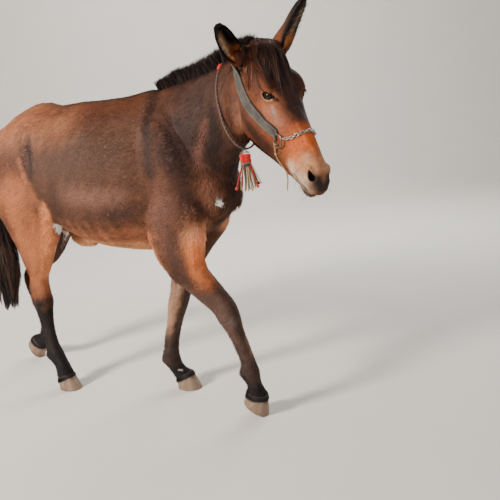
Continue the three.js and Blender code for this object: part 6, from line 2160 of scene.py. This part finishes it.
# the tassel's ways: along its broad side, out of it, and down
tasselFace = unit(tassel["face"])
tasselOut = np.array((-tasselFace[1], tasselFace[0], 0))
tasselDown = np.array((0, 0, -1.0))


def tasselPlace(top, x, y, z):
    return top + tasselFace * x + tasselOut * y + tasselDown * z


def tasselClasp(top):
    # grey wire wound in a loop over the cord and down to the block
    t = np.linspace(0, 1, 150)[:, None]
    a = 2 * np.pi * 6 * t
    wires = []
    for side in (-1, 1):
        coil = tasselPlace(top, side * (2 + 13 * t) + 0.99 * np.sin(a), 3.3 * np.cos(a),
                           3 + 8 * t + 2.97 * np.sin(a))
        wires.append(tubeOf(coil, 0.95, 6))
    loop = tasselPlace(top, 5.6 * np.sin(2 * np.pi * t), 2.2 * np.sin(4 * np.pi * t),
                       2.2 - 7.5 * np.cos(2 * np.pi * t))
    wires.append(tubeOf(loop, 1.15, 8))
    s = np.linspace(0, 1, 60)[:, None]
    wires.append(tubeOf(tasselPlace(top, 38 * s - 19, 0, 11.8 + 1.2 * np.sin(9 * s)), 1.1, 8))
    pieceOf("clasp_wire", meshOf("clasp", *several(wires)), steelLook, ["tassel_clasp"])


def tasselWrap(top):
    # yarn wound flat, with a ridge for each turn, split by a fold near its middle
    rows, steps = ((150, 120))
    v = np.linspace(0, 1, rows)[:, None]
    a = circle(steps)[None]
    c, s = np.cos(a), np.sin(a)
    lumps = ripple(np.stack(np.broadcast_arrays(c * 30, s * 20, v * 40), -1), 9, 2)
    ridge = 0.55 * np.abs(np.sin(v * np.pi * 13 + a * 0.5)) + 0.4 * lumps
    crown = 1 - 0.5 * (np.abs(2 * v - 1) ** 9)
    pinch = 1 - 0.1 * np.exp(-((v - 0.52) / 0.09) ** 2)
    half = tassel["width"] / 2 - 1.2
    dent = 1 - 0.12 * np.exp(-((c * half + 4) / 3.2) ** 2)
    x = signed(c, 0.72) * (half * crown * pinch + ridge)
    y = signed(s, 0.72) * ((tassel["depth"] / 2 - 2) * crown * dent + ridge)
    z = tassel["clasp"] + 1 + (tassel["wrap"] - 3) * v + 1.2 * np.sin(c * 2 + 1) * (1 - v)
    grid = tasselPlace(top, x[..., None], y[..., None], z[..., None])
    shapes, colours = [shell(grid, grid.mean((0, 1)))], [(222, 30, 28)]
    a = np.linspace(0, 2 * np.pi, 60)[:, None]
    for k in range(3):
        level = tassel["clasp"] + tassel["wrap"] - 2.6 + 1.9 * k + 0.8 * np.sin(2 * a + k)
        loop = tasselPlace(top, 19.5 * np.cos(a), 9.8 * np.sin(a), level)
        shapes.append(tubeOf(loop, 1.25, 8, (0, 0, 1)))
        colours.append((126, 120, 112))
    pieceOf("wound_block", shapeMesh("wrap", shapes, colours), redLook, ["tassel_wrap"])
    z = tassel["clasp"] + 4 + 28 * chance.random((40, 1))
    x, y = chance.uniform(-17, 17, (40, 1)), -9 * np.sign(chance.uniform(-1, 1, (40, 1)))
    fuzz("wrap_fuzz", redLook, tasselPlace(top, x, y, z), 2.4, 900, 5.5,
         np.array([tint(230, 44, 38), tint(178, 20, 20)]))


strandRows = [   # spread across, spread out, colour, length share, its end
    (-1.0, -0.5, (206, 34, 30), 0.96, "knot"), (-0.84, 0.4, (72, 54, 46), 0.9, "fray"),
    (-0.68, -0.6, (176, 140, 98), 0.95, "fray"), (-0.52, 0.5, (196, 30, 28), 0.86, "fray"),
    (-0.36, -0.5, (150, 116, 84), 1.0, "fray"), (-0.2, 0.5, (60, 46, 42), 0.96, "fray"),
    (-0.06, -0.55, (190, 156, 112), 1.0, "fray"), (0.1, 0.5, (124, 92, 66), 0.97, "fray"),
    (0.2, -0.6, (202, 164, 118), 1.0, "knot"), (0.34, 0.4, (68, 52, 46), 0.93, "fray"),
    (0.46, -0.5, (214, 182, 140), 0.96, "fray"), (0.62, 0.5, (164, 128, 90), 0.9, "fray"),
    (0.72, -0.5, (210, 34, 30), 0.94, "knot"), (0.86, 0.4, (58, 46, 44), 0.86, "knot"),
    (1.0, -0.5, (206, 174, 134), 0.84, "fray"),
]


def tasselStrands(top):
    # twisted yarn that fans out and ends in knots or frayed tips, round a dark core
    start = tassel["clasp"] + tassel["wrap"] + 0.6
    shapes, colours = [], []
    t = np.linspace(0, 1, 14)[:, None]
    for k, (spread, depth, colour, share, ending) in enumerate(strandRows):
        size = tassel["length"] * share * (1 - 0.08 * spread ** 2)
        path = tasselPlace(top, spread * (15 + 31 * t ** 0.9) + 1.3 * np.sin(5 * t + k),
                           depth * (8 + 14 * t) + 1.2 * np.sin(4 * t + 2 * k), start + 1 + size * t)
        darker = tuple(int(0.86 * v) for v in colour)
        knot = ending == "knot"
        last = knotOf(path[-1], path[-1] - path[-2], 5.8) if knot else tuftOf(path[-1] + (0, 0, 2), 2.6, 7)
        shapes += yarn(path, 2.5, 2, 9) + [last]
        colours += [colour, darker, colour]
        fuzz(f"strand_fuzz_{k + 1}", tanLook, path, 2.3, 70, 5,
             np.array([tint(*colour), tint(*darker)]))
    a, v = circle(40)[None], np.linspace(0, 1, 8)[:, None]
    core = tasselPlace(top, ((18.5 + 3 * v) * np.cos(a))[..., None],
                       ((8.2 + 1.6 * v) * np.sin(a))[..., None],
                       (start + 9 * v + 0 * a)[..., None])
    shapes.append(shell(core, core.mean((0, 1))))
    colours.append((70, 52, 44))
    pieceOf("tassel_yarns", shapeMesh("strands", shapes, colours), tanLook, ["tassel_strands"])


cordPath = neckCord()
bead(cordPath)
tasselTop = cordPath[cordSize["tassel"]] + (0, 0, -4.7)
tasselClasp(tasselTop)
tasselWrap(tasselTop)
tasselStrands(tasselTop)
print("tassel made")


# Camera, light and floor
cameraPlace = {"eye": (2119, -2241.6, 1346.4), "right": (0.8607, 0.4944, -0.1217),
               "up": (-0.0173, 0.2672, 0.9635), "back": (0.5089, -0.8271, 0.2385), "lens": 47.81,
               "sensor": 36}
lens = bpy.data.cameras.new("camera")
lens.lens = cameraPlace["lens"]
lens.sensor_width = cameraPlace["sensor"]
camera = bpy.data.objects.new("camera", lens)
turn = Matrix([cameraPlace["right"], cameraPlace["up"], cameraPlace["back"]]).transposed().to_4x4()
camera.matrix_world = Matrix.Translation(placed(cameraPlace["eye"])) @ turn
bpy.context.scene.collection.objects.link(camera)
bpy.context.scene.camera = camera


def lamp(name, place, aim, power, size, colour):
    light = bpy.data.lights.new(name, "AREA")
    light.energy = power
    light.size = size
    light.color = colour
    lit = bpy.data.objects.new(name, light)
    lit.location = place
    lit.rotation_euler = (Vector(aim) - Vector(place)).to_track_quat("-Z", "Y").to_euler()
    bpy.context.scene.collection.objects.link(lit)


lamp("key", (-2.1, -3.7, 3.3), (0, 0, 0.8), 420, 1.1, (1, 0.94, 0.86))
lamp("fill", (3.6, -3.0, 2.0), (0.3, 0, 0.8), 40, 3, (0.94, 0.96, 1))
lamp("rim", (0.5, 3.5, 3.2), (0, 0, 0.9), 100, 2.5, (1, 0.97, 0.93))
lamp("backdrop", (-1.5, 2.2, 4.6), (-3.4, 6.0, 1.6), 210, 3, (1, 0.99, 0.97))
world = bpy.data.worlds.new("world")
world.use_nodes = True
world.node_tree.nodes["Background"].inputs["Color"].default_value = (0.75, 0.78, 0.82, 1)
world.node_tree.nodes["Background"].inputs["Strength"].default_value = 0.42
bpy.context.scene.world = world

# a pale sweep: a flat floor that curls up far behind, square to the camera's look
stage = {"flat": 4300, "radius": 2600, "high": 4200, "half": 9000, "front": -5200}
floorLook = Look("sweep")
paper = floorLook.noise(3.2, 3, 0.5)
sweepTone = floorLook.scaled(tint(226, 221, 213), paper * 0.06 + 0.97)
sweepLook = floorLook.finish(Base_Color=sweepTone, Roughness=0.85)
lookWay = unit((-cameraPlace["back"][0], -cameraPlace["back"][1], 0))
bend = np.linspace(0, np.pi / 2, 40)[1:]
reachAlong = np.concatenate([np.linspace(stage["front"], stage["flat"], 40),
                             stage["flat"] + stage["radius"] * np.sin(bend),
                             [stage["flat"] + stage["radius"]]])
rising = np.concatenate([np.zeros(40), stage["radius"] * (1 - np.cos(bend)),
                         [stage["radius"] + stage["high"]]])
acrossAll = np.linspace(-stage["half"], stage["half"], 24)
sideWay = np.array((lookWay[1], -lookWay[0], 0))
sweep = (reachAlong[:, None, None] * lookWay + acrossAll[None, :, None] * sideWay
         + rising[:, None, None] * (0, 0, 1))
facesUp = gridFaces(len(reachAlong), len(acrossAll), loop=False)[:, ::-1]
sweepMesh = meshOf("sweep", sweep.reshape(-1, 3) - 1000 * shift, facesUp)
sweepMesh.materials.append(sweepLook)
floor = bpy.data.objects.new("floor", sweepMesh)
bpy.context.scene.collection.objects.link(floor)
print("stage set")
